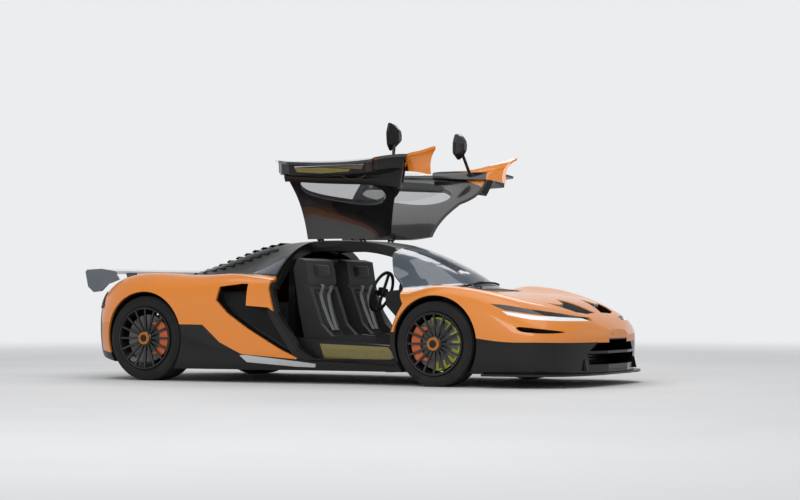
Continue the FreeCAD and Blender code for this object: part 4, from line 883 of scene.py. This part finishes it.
def plate(name, columns, rows, shoot, low, lift, finish, angle, body):
    """Closed plate over shoot(u, v), from low to lift(i, j) above it."""
    steps = [(i, j) for j in range(rows + 1) for i in range(columns + 1)]
    found = [shoot(i / columns, j / rows) for i, j in steps]
    if not all(found):
        return None
    points = [f[0] + f[1] * lift(i, j) for f, (i, j) in zip(found, steps)] + [f[0] + f[1] * low for f in found]
    w, under, faces = columns + 1, len(steps), []
    for a in (j * w + i for j in range(rows) for i in range(columns)):
        faces.append((a, a + 1, a + w + 1, a + w))
        faces.append((under + a, under + a + w, under + a + w + 1, under + a + 1))
    rim = list(range(w)) + [j * w + columns for j in range(1, rows + 1)]
    rim += [rows * w + i for i in range(columns - 1, -1, -1)] + [j * w for j in range(rows - 1, 0, -1)]
    faces += [(a, under + a, under + b, b) for a, b in zip(rim, rim[1:] + rim[:1])]
    return piece(name, points, faces, finish, body, angle)


def laid(name, low_edge, high_edge, shoot, thick, finish, body="body", columns=24, rows=6):
    """Thin plate between two edge lines of flat places, on the surface that shoot(a, b) finds."""
    def at(edge, u):
        t = u * (len(edge) - 1)
        i = min(int(t), len(edge) - 2)
        return [p + (q - p) * (t - i) for p, q in zip(edge[i], edge[i + 1])]

    def found(u, v):
        return shoot(*[p + (q - p) * v for p, q in zip(at(low_edge, u), at(high_edge, u))])

    def lift(i, j):
        return FLOOR_GAP + thick * EDGE_SHARES[min(i, columns - i, j, rows - j, 2)]

    return plate(name, columns, rows, found, FLOOR_GAP, lift, finish, 50, body)


# %% [markdown]
# The seats' hard shells are CAD solids. Their suede pads, a crowned cushion and a back with sewn channels
# and a head pad, are raised from the shell's own surface, with tucked edges.
# %% Seat pads
SEAT_Y, PAD_LOW, PAD_FLOOR = 0.34, 0.002, 0.004
SIDE_ROLL, END_ROLL, CROWN = 0.15, 0.11, 0.24
CHANNEL_DEPTH, CHANNEL_HALF = 0.35, 0.12
# Start (x, z) of the rays, its run along the pad, the rays' direction, width, columns, rows, thickness, channels.
PADS = {"cushion": ((-0.02, 1.3), (0.37, 0), DOWN, 0.3, 20, 24, 0.03, 5),
        "back": ((0.35, 0.42), (0, 0.32), BACK, 0.3, 20, 26, 0.024, 7),
        "head": ((0.35, 0.865), (0, 0.09), BACK, 0.24, 14, 10, 0.02, 0)}


def pad(side, part):
    (x, z), (run_x, run_z), direction, wide, columns, rows, thick, channels = PADS[part]

    def shell(u, v):
        return hit(["seats"], (x + run_x * v, SIDES[side] * SEAT_Y + (u - 0.5) * wide, z + run_z * v), direction)

    def lift(i, j):
        u, v = i / columns, j / rows
        edge = min(1.0, min(u, 1 - u) / SIDE_ROLL) * min(1.0, min(v, 1 - v) / END_ROLL)
        seam = v * channels % 1.0
        groove = 1.0 - CHANNEL_DEPTH * max(0.0, 1.0 - min(seam, 1 - seam) / CHANNEL_HALF) if channels else 1.0
        return PAD_FLOOR + thick * edge ** 0.5 * groove * (1.0 + CROWN * (1 - (2 * u - 1) ** 2))

    obj = plate("%s_seat_%s" % (side, part), columns, rows, shell, PAD_LOW, lift, "suede", 60, "body")
    return obj.name


for side in SIDES:
    print([pad(side, part) for part in PADS])

# %% [markdown]
# Each seat has a harness: two shoulder straps and two lap straps meet at a buckle above the cushion. Straps
# are thin flat ribbons that lie on the pads.
# %% Harness straps
STRAP_THICK, LAP_LIFT = 0.0025, 0.045
for side, s in SIDES.items():
    middle = s * SEAT_Y
    straps = []
    for way in (-1, 1):
        steps = [i / 14 for i in range(15)]
        shoulder = [(0.45, middle + way * (0.075 - 0.045 * t), 0.8 - 0.4 * t) for t in steps]
        lap = [(0.09 - 0.04 * t, middle + way * (0.02 + 0.15 * t), 1.0) for t in (i / 8 for i in range(9))]
        for starts, direction, lift, wide in ((shoulder, BACK, 0.04, 0.048), (lap, DOWN, LAP_LIFT, 0.045)):
            path, ups, _ = zip(*hits(["seats"], starts, direction, lift))
            straps.append(along(path, strap_section(wide, STRAP_THICK), ups))
    piece(side + "_harness", *gathered(straps), "webbing", "body", 50)
    place, normal, _ = hit(["seats"], (0.1, middle, 1.0), DOWN, LAP_LIFT)
    buckle = along([place, place + normal * 0.012], circle(0.03, 16), [X, X])
    piece(side + "_buckle", *buckle, "machined", "body", 30)
print("harnesses made")

# %% [markdown]
# The doors are dark but for the orange blade that runs out past the fender, and a thin line behind it. The
# material turns a point back to where it is with the door shut, and asks how high and how far forward it is,
# and whether it faces outward.
# %% Two tone door skins
BAND_LOW, LINE_HIGH, BAND_HIGH, BAND_START, FREE_START = 0.69, 0.75, 0.86, 0.2, 0.84
OUTWARD = 0.15


def door_material(side):
    s = SIDES[side]
    material, tree, shader = new_material(side + "_door_two_tone")
    coords = add(tree, "ShaderNodeTexCoord").outputs
    values = {0: coords["Object"], 1: (0, s * HINGE_Y, HINGE_Z)}
    from_hinge = add(tree, "ShaderNodeVectorMath", values, operation="SUBTRACT").outputs[0]
    shut, way = [add(tree, "ShaderNodeMapping", {"Vector": v, "Rotation": (-s * OPEN, 0, 0)}).outputs[0]
                 for v in (from_hinge, coords["Normal"])]
    x, _, z = parts_of(shut)
    outward = maths("GREATER_THAN", product(parts_of(way)["Y"], s), OUTWARD)
    flick = between(z, BAND_LOW - HINGE_Z, BAND_HIGH - HINGE_Z)
    flick = product(flick, maths("GREATER_THAN", x, FREE_START))
    line = between(z, BAND_LOW - HINGE_Z, LINE_HIGH - HINGE_Z)
    line = product(line, maths("GREATER_THAN", x, BAND_START), outward)
    orange = blended(effect(tree, "grain", Scale=1500), *colours_of("orange_paint"))
    dark = blended(effect(tree, "weave", Scale=420), *colours_of("gloss_black"))
    colour = blended(maths("MAXIMUM", flick, line), dark, orange)
    coat(shader, colour, uneven(tree, 0.2, 0.06), 1.0)
    return material


for side in SIDES:
    wear(side + "_door_shell", door_material(side))
print("two tone doors")

# %% [markdown]
# Inside, each door carries an olive yellow strip along its lower edge, a soft arm panel with a pull strap, a round
# speaker and a catch. Its sill's underside has a brown panel, a silver band and an olive yellow panel. The olive
# yellow is painted reflection of yellow light, and the brown and the silver are painted sheen. Shut rays lay them all.
# %% Door linings
# Name, low edge, high edge, thickness and finish; edges are (x, z) seen from the cabin and (x, y) from below.
CABIN_PANELS = [
    # The olive yellow strip is painted reflection of yellow light.
    ("olive_strip", [(-0.03, 0.262), (0.35, 0.252), (0.7, 0.262)], [(-0.13, 0.42), (0.35, 0.4), (0.7, 0.395)],
     0.004, "yellow_reflection_weave"),
    ("arm_panel", [(-0.1, 0.43), (0.3, 0.41), (0.68, 0.44)], [(-0.19, 0.62), (0.3, 0.62), (0.7, 0.6)],
     0.007, "soft_trim"),
    ("upper_pad", [(-0.2, 0.66), (0.3, 0.66), (0.7, 0.64)], [(-0.23, 0.73), (0.3, 0.74), (0.72, 0.7)],
     0.006, "suede")]
SILL_PANELS = [
    # The silver band is painted sheen: sky light that the dark door edge mirrors.
    ("silver_edge", [(0.12, 0.879), (0.74, 0.879)], [(0.12, 0.867), (0.4, 0.872), (0.74, 0.874)], 0.003, "silver"),
    # The brown panel is painted sheen on the dark lining.
    ("brown_panel", [(0.28, 0.87), (0.5, 0.871), (0.735, 0.872)], [(0.28, 0.866), (0.5, 0.856), (0.715, 0.838)],
     0.004, "door_brown"),
    # The olive yellow edge is painted reflection of yellow light.
    ("olive_edge", [(0.12, 0.864), (0.36, 0.86), (0.62, 0.842)], [(0.14, 0.832), (0.36, 0.816), (0.6, 0.824)],
     0.004, "yellow_reflection_weave")]
for side, s in SIDES.items():
    door, inner = side + "_door", [side + "_door_inner"]

    def from_below(x, y):
        return shut_ray(side, inner, (x, s * y, -0.5), (0, 0, 1))

    def from_cabin(x, z):
        return shut_ray(side, inner, (x, 0.0, z), (0, s, 0))

    def line_with(panels, shoot):
        for name, low, high, thick, finish in panels:
            laid("%s_%s" % (door, name), low, high, shoot, thick, finish, door)

    line_with(CABIN_PANELS, from_cabin)
    (a, up_a, _), (b, up_b, _) = from_cabin(0.3, 0.635), from_cabin(0.52, 0.635)
    bends = [(0, up_a, 0.004), (0.25, up_a, 0.03), (0.5, up_a, 0.035), (0.75, up_b, 0.03), (1, up_b, 0.004)]
    path = smooth_path([a.lerp(b, t) + up * high for t, up, high in bends], 5)
    pull = along(path, strap_section(0.026, 0.005), [up_a] * len(path))
    piece(door + "_pull", *pull, "brown_trim", door, 50)
    place, normal, _ = from_cabin(0.58, 0.37)
    rim = along([place + normal * 0.001, place + normal * 0.007], circle(0.052, 28), [X, X])
    piece(side + "_speaker_rim", *rim, "dark_steel", door, 30)
    place, normal, _ = from_cabin(-0.16, 0.5)
    turn = Matrix.Translation(place) @ normal.to_track_quat("Z", "X").to_matrix().to_4x4()
    catch = turned_by(block((-0.018, -0.012, 0.0), (0.018, 0.012, 0.014), 0.2), turn)
    piece(door + "_catch", *catch, "machined", door, 30)
    line_with(SILL_PANELS, from_below)
print("door linings made")

# %% [markdown]
# A mirror's glass sits in the back of its head, a little inside the rim. It faces the driver, so it looks
# back along the car, and it turns with the door.
# %% Mirror glass
MIRROR = [(-0.105, -0.03), (-0.06, -0.062), (0.04, -0.066), (0.112, -0.03), (0.1, 0.034), (0.03, 0.062),
          (-0.07, 0.052)]
GLASS_RINGS = ((-0.0005, 0.8), (-0.003, 0.79), (-0.004, 0.74), (-0.004, 0.02))
for side, s in SIDES.items():
    head = Vector((0.606, s * 1.075, 0.9))
    rounded = smooth_path([(0, s * y, z) for y, z in MIRROR], 5, closed=True)
    points = [opening_turn(side) @ (head + Vector((dx, p.y * share, p.z * share)))
              for dx, share in GLASS_RINGS for p in rounded]
    faces = loops(len(GLASS_RINGS), len(rounded))
    piece(side + "_mirror_glass", points, faces, "mirror_glass", side + "_door", 25)
print("mirror glass made")

# %% [markdown]
# Behind the front spokes a lime arc runs round the disc on the side away from the caliper. Its lime colour is
# painted reflection of the yellow light seen there on the disc and the rim's barrel. It is an arc with fins, and
# three brackets take it past the disc to the upright.
# %% Lime arcs of painted reflection
REFLECTION_ARC_Y, REFLECTION_ARC_RADIUS, FINS = 0.914, 0.198, 9
REFLECTION_ARC_SECTION = [(-0.007, -0.0022), (0.007, -0.0022), (0.007, 0.0022), (-0.007, 0.0022)]
for side, s in SIDES.items():
    hub, outward = node_middle("front_%s_disc" % side)[0], Vector((0, s, 0))
    hub.y = s * REFLECTION_ARC_Y
    angles = [radians(-98 + 5 * i) for i in range(41)]
    arc = [hub + REFLECTION_ARC_RADIUS * Vector((cos(a), 0, sin(a))) for a in angles]
    parts = [along(arc, REFLECTION_ARC_SECTION, [outward] * len(arc))]
    for k in range(FINS):
        a = radians(-88 + 23 * k)
        radial = Vector((cos(a), 0, sin(a)))
        turn = facing(hub, (radial, outward.cross(radial), outward))
        parts.append(turned_by(block((0.138, -0.014, -0.0021), (0.194, 0.014, 0.0021)), turn))
        if k % 3 == 1:
            parts.append(turned_by(block((0.2005, -0.009, -0.055), (0.206, 0.009, 0.0021)), turn))
    piece(side + "_disc_guide", *gathered(parts), "lime_bracket", side + "_knuckle", 30)
print("disc guides made")

# %% [markdown]
# Trim of the fixed body: olive yellow panels on the tub below each doorway, their colour painted reflection of
# yellow light, the cowl at the foot of the screen, a blank plate and dashboard screens, and slats on the engine cover.
# %% Body trim
for side, s in SIDES.items():
    low, high = [(0.12, 0.2), (0.78, 0.2)], [(0.08, 0.318), (0.7, 0.296)]
    # Olive yellow panel whose colour is painted reflection of yellow light.
    laid(side + "_sill_panel", low, high, shooter(["tub"], s * 1.2, (0, -s, 0)), 0.003, "yellow_reflection_weave")
on_dashboard = shooter(["dashboard"], 0, (1, 0, 0))
TRIM = [
    ("cowl_grille", [(1.24, -0.44), (1.242, 0.0), (1.24, 0.44)], [(1.28, -0.42), (1.292, 0.0), (1.28, 0.42)],
     shooter(["front_clamshell"], 2, DOWN), 0.006, "satin_black"),
    ("blank_rear_plate", [(-0.255, 0.265), (0.255, 0.265)], [(-0.255, 0.365), (0.255, 0.365)],
     shooter(["rear_fascia"], -3, (1, 0, 0)), 0.004, "silver"),
    ("middle_screen", [(-0.085, 0.615), (0.085, 0.615)], [(-0.085, 0.695), (0.085, 0.695)],
     on_dashboard, 0.006, "screen"),
    ("driver_screen", [(-0.39, 0.756), (-0.27, 0.756)], [(-0.376, 0.798), (-0.284, 0.798)],
     on_dashboard, 0.005, "screen")]
print({panel[0]: laid(*panel) is not None for panel in TRIM})
starts = [(-0.72 - 0.085 * k, y, 2.0) for k in range(11) for y in (-0.24, 0.0, 0.24)]
slat = turned_by(block((-0.016, -0.105, -0.002), (0.016, 0.105, 0.007)), Matrix.Rotation(radians(-14), 4, "Y"))
on_surface("engine_cover_slats", slat, "gloss_black", hits(["engine_cover"], starts, DOWN, 0.002), "X")

# %% [markdown]
# Behind the tail's openings stand two mesh panels, and honeycomb closes the side of the tail.
# %% Tail mesh
CORNER = [(-2.095, 0.605), (-1.975, 0.605), (-1.985, 0.735), (-2.045, 0.722)]
for side, s in SIDES.items():
    outline = [(s * y, z) for y, z in ((0.19, 0.44), (0.47, 0.44), (0.47, 0.62), (0.19, 0.62))]
    flat_mesh(side + "_tail_mesh", -2.16, outline, CELL)
    tail = (["rear_body", "rear_fascia"], s * 2, (0, -s, 0))
    laid(side + "_tail_corner", CORNER[:2], CORNER[:1:-1], shooter(*tail), 0.004, "satin_black")
    cells = [shooter(*tail, 0.0065)(a, b) for a, b in hex_places(CORNER, CELL)]
    on_surface(side + "_corner_mesh", hex_cell(CELL), "gloss_black", cells)

# %% [markdown]
# The steering wheel gets its middle pad and four buttons. They ride on the wheel's body.
# %% Steering wheel trim
TILT = radians(20)
axis, across = Vector((-cos(TILT), 0, sin(TILT))), Vector((0, -1, 0))
place, _, _ = hit(["steering_wheel"], Vector((0.43, -0.33, 0.72)) + axis * 0.3, -axis)
face = facing(place, (across.cross(axis), across, axis))
wheel_pad = turned_by(block((-0.036, -0.05, 0.0), (0.036, 0.05, 0.012), 0.3), face)
piece("wheel_pad", *wheel_pad, "soft_trim", "steering_wheel", 30)
buttons = [turned_by(block((x - 0.006, y - 0.008, 0.011), (x + 0.006, y + 0.008, 0.016), 0.3), face)
           for x in (-0.022, 0.022) for y in (-0.034, 0.034)]
piece("wheel_buttons", *gathered(buttons), "machined", "steering_wheel", 30)
print("steering wheel trimmed with", len(buttons), "buttons")
